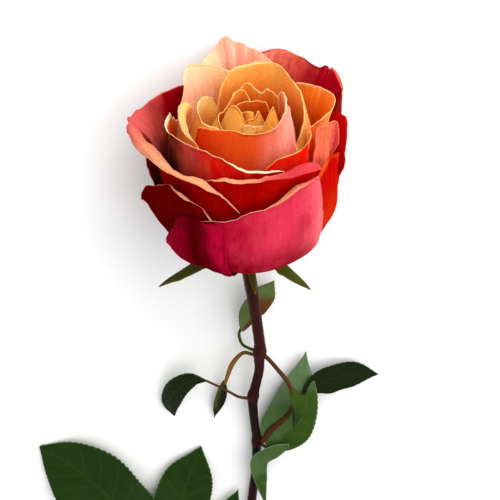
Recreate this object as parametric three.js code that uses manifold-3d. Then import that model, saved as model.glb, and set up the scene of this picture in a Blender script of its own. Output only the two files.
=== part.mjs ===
// Cut hybrid tea rose lying on its back petals. Millimetres, +Z up, stem along -Y, bloom at +Y.
import * as THREE from 'three';
import Module from 'manifold-3d';

const wasm = await Module();
wasm.setup();

// Bloom.
const BELLY_RADIUS = 34.5;        // radius of the closed body at its widest
const BELLY_DEPTH = 33;           // from the widest height down to the bottom
const BELLY_HEIGHT = 31;          // widest height above the bloom's base
const TOP_LEAN = 0.0026;          // inward lean above the widest height, per mm squared
const ROOT_RADIUS = 4.2;          // every petal starts this far from the axis
const PETAL_THICKNESS = 0.6;
const AXIS_TILT = 15;             // degrees the bloom's axis rises from the surface
const BLOOM_BASE_Y = -32.7;
const BLOOM_BASE_Z = 26.1;
const SPREAD_END = 0.55;          // share of a petal's length over which it widens
const SPREAD_POWER = 1.2;         // how late in that share it widens
const FLANK = 0.97;               // share of the length from which the lip takes its direction
const FEWEST_COLUMNS = 6;
const MOST_COLUMNS = 11;
const SHORT_LIP = 1.2;            // a lip under this length is left out

// Hip and sepals.
const POST_RADIUS = 3.85;
const POST_TOP = 27;
const HIP_TOP = -3.45;
const HIP_RADIUS = 5;
const HIP_BOTTOM = -10.5;
const NECK_RADIUS = 2.75;
const LATHE_SIDES = 20;
const SEPAL_THICKNESS = 0.8;
const SEPAL_STATIONS = 9;
const SEPAL_ROOT = 2.5;           // where a sepal starts, from the axis
const SEPAL_HEIGHT = -4.6;        // and its height there
const SEPAL_BOW = 1.6;            // how far it rises before it hangs
const SEPAL_KEEL = 0.25;          // drop of its edges as a share of its width

// Stem and leaves.
const STEM_SIDES = 10;
const STEM_STATIONS = 40;
const STALK_SIDES = 6;
const PRICKLE_SIDES = 5;
const PRICKLE_ROOT = 1.6;         // radius of a prickle's foot, and how far its tip hooks down the stem
const PRICKLE_TIP = 0.3;
const LEAF_THICKNESS = 0.7;
const LEAF_STATIONS = 13;
const NARROWEST = 0.25;           // least half width of a leaflet
const NEAR = 0.05;                // share of a leaflet's length over which its direction is taken
const TOOTH = 0.1;                // depth of a leaf tooth as a share of the half width
const POINTED = [0.8, 0.85];      // leaflet outline: where it is widest, how full it is
const FULL = [1.05, 0.6];
const BLUNT = [1.25, 0.6];

// Petal rows: inset of its layer, root azimuth, root width share, flare power, curl in degrees, then the rim
// from one side to the other as [azimuth, radius, height, lip length]. Azimuth 0 faces the front, 90 the right.
const PETALS = {
  back_y: [-0.9, 181, 0.25, 3, 70, [[128, 34.8, 20, 0.5], [134, 36.2, 27, 0.6], [142, 37, 33.5, 1],
    [152, 37.8, 40, 1.6], [164, 38.4, 45, 2.2], [176, 38.9, 48.3, 2.6], [188, 39, 48.8, 2.6],
    [200, 38.7, 47, 2], [211, 38, 43, 1.6], [222, 37, 36, 1], [231, 35.4, 25, 0.5]]],
  front_b: [-0.9, -24, 0.3, 3, 110, [[-58, 31.8, 13, 0.6], [-53, 34.4, 21, 1.5], [-46, 36, 29.5, 2.6],
    [-39, 36.4, 35.5, 2.4], [-31, 36.3, 38.4, 1.2], [-25, 35.9, 32, 0.5], [-20, 35, 24, 0.5],
    [-16, 31.6, 15.5, 0.5], [-14, 26.4, 9, 0.5]]],
  front_a: [0.4, 4, 0.3, 3, 120, [[-47, 34.3, 30, 0.5], [-36, 35.1, 37.5, 0.5], [-22, 34.9, 40, 0.8],
    [-10, 34.3, 41.5, 0.8], [1, 33.9, 45, 1.6], [13, 33.4, 46.8, 2], [25, 33.3, 50.7, 4], [34, 34.2, 53.8, 2.5],
    [40, 35.2, 54.6, 1], [44, 35.2, 46, 0.5], [47, 34.8, 34, 0.5], [49, 33.6, 22, 0.5]]],
  back_m: [0.4, 140, 0.25, 6, 30, [[110, 36, 38, 0.5], [113, 37.2, 48, 0.5], [117, 38.3, 54.5, 0.5],
    [123, 39.6, 58.5, 0.5], [132, 41, 61.3, 0.6], [139, 38.6, 60.6, 0.6], [149, 38.5, 62, 0.6],
    [162, 38.5, 63, 0.6], [173, 37.5, 61.5, 0.6], [184, 35.5, 54, 0.6]]],
  left_c: [1.7, -66, 0.3, 6, 60, [[-116, 29.6, 7, 0.5], [-102, 35.6, 15.5, 0.6], [-88, 37.5, 24, 1],
    [-76, 37.2, 33, 1], [-64, 36.2, 41.4, 1], [-48, 35.4, 48, 1], [-36, 34.7, 48, 1], [-25, 33.9, 44, 0.6],
    [-17, 33.2, 37, 0.5]]],
  right_n: [1.7, 56, 0.3, 5, 40, [[20, 32.6, 31, 0.5], [32, 32.9, 43, 0.5], [46, 33.4, 50, 0.5],
    [60, 33.2, 52, 0.5], [72, 33, 50.5, 0.6], [80, 32.6, 46, 2], [84, 31.8, 38, 3.2], [85, 30.6, 29, 3.4],
    [84, 28.6, 19.5, 3.2], [80, 25.4, 11.5, 2.4], [72, 21.5, 6, 0.8]]],
  right_u: [3, 107, 0.3, 5, 40, [[90, 30.6, 38, 0.5], [92, 31.8, 42, 0.5], [96, 33.6, 43.5, 0.6],
    [102, 35.8, 47.8, 0.6], [108, 36, 50.4, 0.6], [115, 35.8, 50.4, 0.6], [122, 34, 45, 0.5],
    [128, 32, 37, 0.5]]],
  back_x: [3, -128, 0.3, 4, 30, [[-78, 32.3, 32, 0.5], [-86, 34.4, 38, 0.5], [-98, 36, 42, 0.5],
    [-115, 36.6, 44, 0.5], [-133, 37, 46, 0.5], [-148, 36.8, 46, 0.5], [-164, 36, 44, 0.5],
    [-176, 34, 38, 0.5]]],
  left_c2: [3, -34, 0.3, 6, 100, [[-60, 32.4, 42, 0.5], [-46, 33.6, 50, 1], [-35, 33.5, 51, 2.2],
    [-26, 33.1, 48, 2.2], [-18, 32.6, 43, 0.6], [-11, 32.2, 37, 0.4]]],
  left_d: [4.3, -70, 0.2, 7, 125, [[-152, 35.5, 46, 0.5], [-142, 37.5, 52.5, 0.5], [-124, 38.6, 53.2, 0.5],
    [-112, 40.5, 53, 0.6], [-103, 42.8, 52.2, 1], [-93, 38.5, 52.5, 3], [-80, 35.2, 53.5, 5],
    [-66, 33, 54.5, 6.5], [-50, 32.4, 55, 7], [-36, 32.2, 54.5, 6], [-24, 31.9, 52.5, 4], [-13, 31.4, 48.5, 2],
    [-4, 30.9, 43, 0.6]]],
  front_e: [5.6, 8, 0.3, 5, 130, [[-40, 29, 44, 0.5], [-26, 30.6, 53, 0.8], [-14, 30.2, 55.2, 2.4],
    [-4, 29.8, 55.4, 3], [10, 29.9, 56, 3.6], [23, 30.7, 57.5, 4.6], [38, 33.2, 59, 3], [46, 31.8, 50, 0.5]]],
  back_l: [5.6, 186, 0.22, 7, 25, [[150, 31, 48, 0.5], [160, 34, 55.5, 0.5], [168, 35.8, 60.5, 0.5],
    [177, 36.8, 64, 0.5], [187, 37.5, 66, 0.5], [192, 38.3, 67.8, 0.5], [197, 37.5, 65.4, 0.5],
    [208, 35.6, 60.7, 0.5], [218, 33, 55, 0.5], [230, 30, 47, 0.5]]],
  right_h: [6.9, 70, 0.3, 4, 90, [[52, 27.8, 50, 0.5], [55, 27, 58, 0.6], [60, 25, 63.2, 0.8],
    [68, 25.6, 63.4, 1.5], [77, 27.4, 61.6, 2.5], [85, 29.4, 57, 4], [90, 30, 51, 5], [93, 28.8, 44, 1]]],
  left_f: [6.9, -30, 0.25, 4, 110, [[-99, 26.5, 52, 0.6], [-95, 26.2, 58.8, 1.8], [-82, 26.6, 61.5, 1.8],
    [-66, 27.6, 62.5, 1], [-51, 28, 62.4, 0.8], [-35, 27.4, 62, 0.8], [-20, 27.2, 60.6, 1],
    [-5, 27.6, 58.3, 2.2], [10, 28.2, 57, 2.4], [23, 28.8, 56.3, 1.6], [31, 28.8, 52, 0.6]]],
  back_k: [6.9, -136, 0.25, 6, 60, [[-106, 25.6, 50, 0.5], [-109, 24.4, 58, 1.6], [-115, 25, 60.6, 2.5],
    [-128, 28.4, 60.5, 2.5], [-139, 31.6, 62.7, 1.6], [-150, 31.8, 62.2, 0.8], [-165, 30.2, 59.2, 0.6],
    [-176, 29, 54, 0.5]]],
  right_g: [8.2, 38, 0.3, 4, 120, [[8, 25.8, 50, 0.5], [16, 25.7, 56, 0.8], [26, 26.4, 59.3, 1.4],
    [36, 27.6, 62, 1.4], [43, 28.2, 64.4, 1.6], [47, 27.4, 65.5, 1.2], [50, 26.4, 58, 0.5]]],
  left_j: [8.2, -72, 0.25, 4, 130, [[-104, 22.8, 54, 0.5], [-100, 21.8, 60.5, 2], [-92, 22.4, 63, 3.5],
    [-82, 22.8, 62, 3.5], [-70, 22.4, 60.4, 3.5], [-60, 22, 59.5, 3], [-48, 22.8, 59, 1.6],
    [-36, 24.2, 57, 0.5]]],
  right_p: [8.2, 106, 0.25, 4, 40, [[64, 22.5, 52, 0.5], [72, 22.2, 58, 0.5], [85, 24.3, 57.4, 0.5],
    [97, 28.2, 58.8, 0.7], [107, 31.3, 60.3, 0.8], [124, 30.2, 60.2, 0.5], [138, 28, 59, 0.5],
    [149, 26, 53, 0.5]]],
  centre_o: [9.5, 140, 0.22, 4, 25, [[58, 18.9, 44, 0.5], [66, 18.6, 50.8, 0.5], [77, 18.9, 54.5, 0.5],
    [92, 18.9, 59.8, 0.5], [112, 19.8, 63, 0.5], [130, 20.7, 65.2, 0.5], [148, 23.2, 66.6, 0.5],
    [164, 24.2, 66.4, 0.5], [182, 24, 64.4, 0.5], [196, 22.3, 62, 0.5], [208, 20.8, 57, 0.5],
    [216, 19.4, 49, 0.5]]],
  front_i: [10.8, -8, 0.25, 4, 80, [[-63, 20.8, 50, 0.5], [-58, 19.6, 58.5, 0.6], [-50, 19.3, 63.2, 0.7],
    [-35, 19.2, 64.8, 0.5], [-19, 19, 65.5, 0.5], [3, 19, 65.5, 0.5], [20, 19.5, 65.9, 0.7],
    [31, 20.6, 68, 1.2], [39, 20.4, 72.4, 1.2], [48, 18.6, 70, 0.6], [54, 18.6, 58, 0.5]]],
  inner_q: [12.1, -80, 0.25, 4, 40, [[-138, 15.2, 54, 0.5], [-128, 15.4, 60.3, 0.5], [-114, 15.6, 62.5, 0.7],
    [-95, 16.7, 63, 0.8], [-76, 15.4, 60, 0.6], [-55, 15.4, 61.2, 0.5], [-34, 16, 63, 0.5],
    [-20, 16.4, 58, 0.5]]],
  inner_r3: [14.1, 160, 0.25, 4, 30, [[120, 17.4, 51, 0.5], [134, 15.4, 60, 0.5], [144, 15, 61.9, 0.5],
    [153, 15.5, 60.4, 0.5], [160, 15.5, 58.9, 0.5], [168, 16, 59.7, 0.5], [178, 16, 61.6, 0.5],
    [192, 16.2, 57.5, 0.5], [204, 17.6, 50, 0.5]]],
  inner_r1: [16.1, -110, 0.25, 4, 25, [[-20, 12.8, 56, 0.5], [-40, 12.8, 60.6, 0.5], [-66, 10.8, 60.6, 0.5],
    [-92, 9.6, 59.4, 0.5], [-120, 9.8, 57.6, 0.5], [-146, 11.4, 57.6, 0.5], [-162, 12.4, 60.4, 0.5],
    [-176, 12.4, 60.8, 0.5], [-190, 12, 56, 0.5]]],
  inner_t: [16.1, 88, 0.25, 4, 30, [[46, 15, 52, 0.5], [58, 14, 60.5, 0.5], [72, 13.8, 64.2, 0.5],
    [84, 12.8, 67, 0.5], [96, 11.8, 67.6, 0.5], [108, 11.4, 65, 0.5], [120, 13.4, 56, 0.5]]],
  inner_r5: [18.6, 40, 0.25, 4, 20, [[-8, 11.6, 49, 0.5], [6, 9.4, 56.5, 0.5], [20, 8.9, 59, 0.5],
    [34, 9.5, 60.4, 0.5], [44, 10, 63.4, 0.5], [60, 10, 66, 0.5], [78, 9.6, 63, 0.5], [92, 11, 54, 0.5]]],
  inner_r2: [20, 172, 0.3, 4, 20, [[100, 10.8, 50, 0.5], [120, 9, 58, 0.5], [140, 9, 60.4, 0.5],
    [168, 9, 59.2, 0.5], [194, 9, 59, 0.5], [222, 9, 57.5, 0.5], [240, 10.6, 49, 0.5]]],
  inner_r4: [21.6, -60, 0.3, 4, 20, [[-124, 6.4, 56, 0.5], [-100, 6.4, 61, 0.5], [-70, 6.2, 64.5, 0.5],
    [-42, 6, 66, 0.5], [-20, 6, 64.6, 0.5], [-6, 6.2, 61, 0.5], [8, 6.6, 57, 0.5]]],
  heart_1: [24.2, 20, 0.4, 4, 15, [[-50, 3.8, 56, 0.4], [-20, 4.1, 59, 0.4], [10, 4.2, 60.4, 0.4],
    [40, 4.2, 60.8, 0.4], [70, 4, 61.8, 0.4], [100, 4, 60, 0.4], [130, 3.8, 56, 0.4]]],
  heart_2: [26, -150, 0.4, 4, 15, [[-240, 2.6, 55, 0.4], [-200, 3, 58.4, 0.4], [-160, 3.4, 58.8, 0.4],
    [-130, 3.2, 58.6, 0.4], [-95, 2.8, 57, 0.4], [-70, 2.5, 54, 0.4]]],
};

// Colour of each petal's outer face, and of the other pieces.
const PETAL_COLOURS = {
  back_y: 0x9a1420, front_b: 0x8e0f2c, front_a: 0xd2304f, back_m: 0xb0303a, left_c: 0x6a1018, right_n: 0xd01812,
  right_u: 0xd42a1c, back_x: 0xa01a24, left_c2: 0xb42a30, left_d: 0xa83a38, front_e: 0xb81014, back_l: 0xf0b99a,
  right_h: 0xe27a6a, left_f: 0xd0563c, back_k: 0xf3c6a2, right_g: 0xe0241e, left_j: 0xdca27c, right_p: 0xea9440,
  centre_o: 0xf0a048, front_i: 0xe06a3a,
};
const HEART_COLOUR = 0xeb8a38;
const HIP_COLOUR = 0x66722e;
const STEM_COLOUR = 0x4a1d1c;
const LEAF_COLOURS = {
  leaf_behind: 0x7d9a62, leaf_narrow: 0x33441d, leaf_arched: 0x2c4a2a, leaf_folded: 0x2f4f22, leaf_broad: 0x5f7f5a,
  leaf_strip: 0x7f9c86, leaf_low: 0x1f4a16,
};

// Sepals as [azimuth, length out, drop at the tip, half width].
const SEPALS = [[-78, 36, -17, 3.7], [10, 19, -9.6, 1.9], [65, 27.5, -14.4, 3.5], [138, 24, -9, 3.2],
  [210, 24, -9, 3.2]];

// Stem centre line as [x, y, z, radius], from the hip down to the cut end.
const STEM = [[0, -43.2, 23.29, 2.75], [2.4, -62.7, 18.6, 2.45], [4.2, -78.8, 15.2, 2.3], [5.3, -89.8, 13.2, 2.4],
  [5.4, -95.3, 12, 2.95], [5.2, -99.8, 11.1, 2.35], [5.2, -107.1, 9.8, 2.1], [3.3, -118.8, 8, 2.2],
  [2.6, -123.1, 7.5, 2.7], [2.4, -128.8, 6.9, 2.2], [3.3, -141.8, 5.8, 2], [4.2, -148.8, 5.3, 2.2],
  [4.4, -153.3, 5, 2.6], [4.3, -158.8, 4.7, 2.15], [3.8, -173.8, 3.9, 2.1], [2.1, -193.8, 3.2, 2.2],
  [1.5, -209, 3, 2.3], [1.5, -216, 3, 2.85], [1.4, -222, 2.9, 2.4], [1.8, -240, 2.65, 2.45],
  [2.6, -263.8, 2.65, 2.55], [2.4, -285.8, 2.7, 2.7]];
// Prickles as [how many stem points along, azimuth about the stem, length].
const PRICKLES = [[18.6, 60, 4], [19.1, -75, 4.5], [19.9, 20, 4.5], [20.5, 95, 4]];

const radians = THREE.MathUtils.degToRad;
const TILT = radians(AXIS_TILT);
const AXIS = new THREE.Vector3(0, Math.cos(TILT), Math.sin(TILT));
const FRONT = new THREE.Vector3(0, -Math.sin(TILT), Math.cos(TILT));
const RIGHT = new THREE.Vector3(1, 0, 0);
const BASE = new THREE.Vector3(0, BLOOM_BASE_Y, BLOOM_BASE_Z);

// A point of the bloom from azimuth (radians), radius and height along the axis.
function bloomPoint(azimuth, radius, height) {
  return BASE.clone()
    .addScaledVector(RIGHT, radius * Math.sin(azimuth))
    .addScaledVector(FRONT, radius * Math.cos(azimuth))
    .addScaledVector(AXIS, height);
}

// Uniform Catmull-Rom curve through rows of numbers, u from 0 to 1.
function curveAt(rows, u) {
  const last = rows.length - 1;
  const x = Math.min(Math.max(u, 0), 1) * last;
  const i = Math.min(Math.floor(x), last - 1);
  const f = x - i;
  const b = rows[i];
  const c = rows[i + 1];
  const a = i > 0 ? rows[i - 1] : b.map((v, k) => 2 * v - c[k]);
  const d = i + 2 <= last ? rows[i + 2] : c.map((v, k) => 2 * v - b[k]);
  return b.map((v, k) => 0.5 * (2 * v + (c[k] - a[k]) * f + (2 * a[k] - 5 * v + 4 * c[k] - d[k]) * f * f
    + (3 * v - a[k] - 3 * c[k] + d[k]) * f * f * f));
}

// Profile of a layer: a quarter ellipse from the root to the widest height, then nearly straight up.
function layer(inset) {
  const a = BELLY_RADIUS - inset;
  const b = BELLY_DEPTH - inset;
  const start = Math.asin(ROOT_RADIUS / a);
  const span = Math.PI / 2 - start;
  return {
    at(tau) {
      const up = Math.max(tau - 1, 0) * b * span;
      const angle = start + span * Math.min(tau, 1);
      return [a * Math.sin(angle) - TOP_LEAN * up * up, BELLY_HEIGHT - b * Math.cos(angle) + up];
    },
    tauOf(height) {
      if (height > BELLY_HEIGHT) return 1 + (height - BELLY_HEIGHT) / (b * span);
      return (Math.acos((BELLY_HEIGHT - height) / b) - start) / span;
    },
  };
}

// Middle surface of a petal. u runs across; t from 0 at the root to 1 at the fold and on to 2 along the lip.
function petalPoint(petal, u, t) {
  const [inset, rootAzimuth, rootShare, power, curl, rim] = petal;
  const [azimuth, radius, height, lipLength] = curveAt(rim, u);
  const profile = layer(inset);
  const top = profile.tauOf(height);
  const flare = radius - profile.at(top)[0];
  const blade = (s) => {
    const [r, h] = profile.at(s * top);
    return [r + flare * Math.pow(s, power), h];
  };
  const s = Math.min(t, 1);
  let [r, h] = blade(s);
  if (t > 1) {
    const [r0, h0] = blade(FLANK);
    const length = Math.hypot(r - r0, h - h0);
    const [tr, th] = [(r - r0) / length, (h - h0) / length];
    const turn = radians(curl) * (t - 1);
    const bend = Math.max(lipLength, SHORT_LIP) / radians(curl);
    r += bend * (Math.sin(turn) * tr + (1 - Math.cos(turn)) * th);
    h += bend * (Math.sin(turn) * th - (1 - Math.cos(turn)) * tr);
  }
  const widen = Math.pow(Math.sin(Math.PI / 2 * Math.min(s / SPREAD_END, 1)), SPREAD_POWER);
  const share = rootShare + (1 - rootShare) * widen;
  const point = bloomPoint(radians(rootAzimuth + (azimuth - rootAzimuth) * share), r, h);
  point.z = Math.max(point.z, pressedHeight(petal));
  return point;
}

// Where the bloom rests, each layer is pressed flat at its own height.
const pressedHeight = ([inset]) => PETAL_THICKNESS / 2 + inset - PETALS.back_y[0];

// Closed manifold from rows of points, thickened by half on each side along the normals; a point at the
// pressed height is thickened straight up and down, so that the spot it lies in is flat.
function thicken(rows, thickness, pressed = -Infinity) {
  const m = rows.length;
  const n = rows[0].length;
  const upper = [];
  const lower = [];
  for (let i = 0; i < m; i += 1) {
    for (let j = 0; j < n; j += 1) {
      const across = rows[i][Math.min(j + 1, n - 1)].clone().sub(rows[i][Math.max(j - 1, 0)]);
      const along = rows[Math.min(i + 1, m - 1)][j].clone().sub(rows[Math.max(i - 1, 0)][j]);
      const normal = along.cross(across).normalize();
      if (rows[i][j].z <= pressed) normal.set(0, 0, Math.sign(normal.z));
      normal.multiplyScalar(thickness / 2);
      upper.push(rows[i][j].clone().add(normal));
      lower.push(rows[i][j].clone().sub(normal));
    }
  }
  const faces = [];
  const at = (i, j) => i * n + j;
  const half = m * n;
  for (let i = 0; i < m - 1; i += 1) {
    for (let j = 0; j < n - 1; j += 1) {
      const [a, b, c, d] = [at(i, j), at(i, j + 1), at(i + 1, j + 1), at(i + 1, j)];
      faces.push([a, d, c], [a, c, b], [half + a, half + c, half + d], [half + a, half + b, half + c]);
    }
  }
  const wall = (a, b) => faces.push([a, b, half + b], [a, half + b, half + a]);
  for (let j = 0; j < n - 1; j += 1) {
    wall(at(0, j), at(0, j + 1));
    wall(at(m - 1, j + 1), at(m - 1, j));
  }
  for (let i = 0; i < m - 1; i += 1) {
    wall(at(i + 1, 0), at(i, 0));
    wall(at(i, n - 1), at(i + 1, n - 1));
  }
  return toSolid([...upper, ...lower], faces);
}

// Manifold from points and triangles; turned outward if it came out inside out.
function toSolid(points, faces) {
  const vertProperties = new Float32Array(points.flatMap((p) => [p.x, p.y, p.z]));
  const build = (list) => {
    const mesh = new wasm.Mesh({ numProp: 3, vertProperties, triVerts: new Uint32Array(list.flat()) });
    mesh.merge();
    return new wasm.Manifold(mesh);
  };
  const solid = build(faces);
  return solid.volume() > 0 ? solid : build(faces.map(([a, b, c]) => [a, c, b]));
}

// Tube through rows of [x, y, z, radius] with flat ends.
function tube(rows, sides, stations) {
  const centres = [];
  for (let i = 0; i <= stations; i += 1) centres.push(curveAt(rows, i / stations));
  const points = [];
  const faces = [];
  let side = new THREE.Vector3(0, 0, 1);
  centres.forEach(([x, y, z, radius], i) => {
    const before = centres[Math.max(i - 1, 0)];
    const after = centres[Math.min(i + 1, stations)];
    const way = new THREE.Vector3(after[0] - before[0], after[1] - before[1], after[2] - before[2]).normalize();
    side = side.addScaledVector(way, -side.dot(way)).normalize();
    const other = way.clone().cross(side);
    for (let k = 0; k < sides; k += 1) {
      const turn = 2 * Math.PI * k / sides;
      points.push(new THREE.Vector3(x, y, z)
        .addScaledVector(side, radius * Math.cos(turn))
        .addScaledVector(other, radius * Math.sin(turn)));
    }
  });
  for (let i = 0; i < stations; i += 1) {
    for (let k = 0; k < sides; k += 1) {
      const a = i * sides + k;
      const b = i * sides + (k + 1) % sides;
      faces.push([a, b, b + sides], [a, b + sides, a + sides]);
    }
  }
  const last = stations * sides;
  for (let k = 1; k < sides - 1; k += 1) faces.push([0, k + 1, k], [last, last + k, last + k + 1]);
  return toSolid(points, faces);
}

// Leaf blade about a centre line of [x, y, z, rise]; rise lifts the edges above the midrib, as a share of width.
function leafBlade(rib, halfWidth, facing, [skew, fullness] = POINTED) {
  const up = new THREE.Vector3(...facing).normalize();
  const rows = [];
  for (let i = 0; i <= LEAF_STATIONS; i += 1) {
    const s = i / LEAF_STATIONS;
    const [x, y, z, rise] = curveAt(rib, s);
    const before = curveAt(rib, Math.max(s - NEAR, 0));
    const after = curveAt(rib, Math.min(s + NEAR, 1));
    const way = new THREE.Vector3(after[0] - before[0], after[1] - before[1], after[2] - before[2]).normalize();
    const side = way.clone().cross(up).normalize();
    const lift = side.clone().cross(way).normalize();
    const outline = Math.pow(Math.sin(Math.PI * Math.pow(0.03 + 0.95 * s, skew)), fullness);
    const width = Math.max(halfWidth * outline * (i % 2 ? 1 : 1 - TOOTH), NARROWEST);
    const centre = new THREE.Vector3(x, y, z);
    rows.push([-1, 0, 1].map((k) => centre.clone()
      .addScaledVector(side, k * width)
      .addScaledVector(lift, Math.abs(k) * rise * width)));
  }
  return thicken(rows, LEAF_THICKNESS);
}

const stalk = (rows, stations = 6) => tube(rows, STALK_SIDES, stations);
const join = (parts) => parts.reduce((whole, part) => whole.add(part));

function toMesh(name, solid, colour) {
  const mesh = solid.getMesh();
  const geometry = new THREE.BufferGeometry();
  geometry.setAttribute('position', new THREE.BufferAttribute(new Float32Array(mesh.vertProperties), 3));
  geometry.setIndex(new THREE.BufferAttribute(new Uint32Array(mesh.triVerts), 1));
  geometry.computeVertexNormals();
  const result = new THREE.Mesh(geometry, new THREE.MeshStandardMaterial({ color: colour, roughness: 0.6, metalness: 0 }));
  result.name = name;
  return result;
}

const rose = new THREE.Group();
rose.name = 'rose';

// Petals, a body of rows from the root to the fold and, where the rim rolls over, two rows of lip.
const BODY_ROWS = [0, 0.1, 0.21, 0.33, 0.46, 0.6, 0.78, 1];
const LIP_ROWS = [1.5, 2];
for (const [name, petal] of Object.entries(PETALS)) {
  const rim = petal[5];
  const lipped = Math.max(...rim.map((row) => row[3])) > SHORT_LIP;
  const columns = Math.max(FEWEST_COLUMNS, Math.min(rim.length + 1, MOST_COLUMNS));
  const rows = [...BODY_ROWS, ...(lipped ? LIP_ROWS : [])]
    .map((t) => Array.from({ length: columns + 1 }, (_, j) => petalPoint(petal, j / columns, t)));
  const solid = thicken(rows, PETAL_THICKNESS, pressedHeight(petal));
  rose.add(toMesh(name, solid, PETAL_COLOURS[name] ?? HEART_COLOUR));
}

// Hip and receptacle as one turned body, with the sepals fused on.
const PROFILE = [[0, HIP_BOTTOM], [NECK_RADIUS, HIP_BOTTOM], [4.4, -8], [HIP_RADIUS, -5.8], [4.5, -4.2],
  [4.9, HIP_TOP], [POST_RADIUS, HIP_TOP + 0.02], [POST_RADIUS, 20], [3, POST_TOP], [0, POST_TOP]];
function lathe(profile) {
  const points = [];
  const faces = [];
  const rings = profile.slice(1, -1);
  rings.forEach(([r, w]) => {
    for (let k = 0; k < LATHE_SIDES; k += 1) points.push(bloomPoint(2 * Math.PI * k / LATHE_SIDES, r, w));
  });
  const low = points.push(bloomPoint(0, 0, profile[0][1])) - 1;
  const high = points.push(bloomPoint(0, 0, profile[profile.length - 1][1])) - 1;
  for (let k = 0; k < LATHE_SIDES; k += 1) {
    const next = (k + 1) % LATHE_SIDES;
    rings.slice(1).forEach((_, i) => {
      const a = i * LATHE_SIDES + k;
      const b = i * LATHE_SIDES + next;
      faces.push([a, b, b + LATHE_SIDES], [a, b + LATHE_SIDES, a + LATHE_SIDES]);
    });
    const top = (rings.length - 1) * LATHE_SIDES;
    faces.push([low, next, k], [high, top + k, top + next]);
  }
  return toSolid(points, faces);
}
function sepal([azimuth, length, drop, halfWidth]) {
  const angle = radians(azimuth);
  const across = RIGHT.clone().multiplyScalar(Math.cos(angle)).addScaledVector(FRONT, -Math.sin(angle));
  const rows = [];
  for (let i = 0; i <= SEPAL_STATIONS; i += 1) {
    const s = i / SEPAL_STATIONS;
    const radius = SEPAL_ROOT + (length - SEPAL_ROOT) * s;
    const bow = SEPAL_BOW * Math.sin(Math.PI * Math.min(s * 2, 1)) * (1 - s);
    const height = SEPAL_HEIGHT + bow + (drop - SEPAL_HEIGHT) * s * s;
    const width = Math.max(halfWidth * Math.pow(1 - s, 0.8) * (0.65 + 1.4 * s - 0.6 * s * s), 0.3);
    const centre = bloomPoint(angle, radius, height);
    rows.push([-1, 0, 1].map((k) => centre.clone()
      .addScaledVector(across, k * width)
      .addScaledVector(AXIS, -Math.abs(k) * SEPAL_KEEL * width)));
  }
  return thicken(rows, SEPAL_THICKNESS);
}
rose.add(toMesh('hip', join([lathe(PROFILE), ...SEPALS.map(sepal)]), HIP_COLOUR));

// Stem with its prickles.
function prickle([share, azimuth, length]) {
  const [x, y, z, radius] = curveAt(STEM, share / (STEM.length - 1));
  const angle = radians(azimuth);
  const out = new THREE.Vector3(Math.sin(angle), 0, Math.cos(angle));
  const root = new THREE.Vector3(x, y, z).addScaledVector(out, radius * 0.6);
  const tip = new THREE.Vector3(x, y - PRICKLE_ROOT, z).addScaledVector(out, radius + length);
  return tube([[root.x, root.y, root.z, PRICKLE_ROOT], [tip.x, tip.y, tip.z, PRICKLE_TIP]], PRICKLE_SIDES, 2);
}
rose.add(toMesh('stem', join([tube(STEM, STEM_SIDES, STEM_STATIONS), ...PRICKLES.map(prickle)]), STEM_COLOUR));

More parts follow.
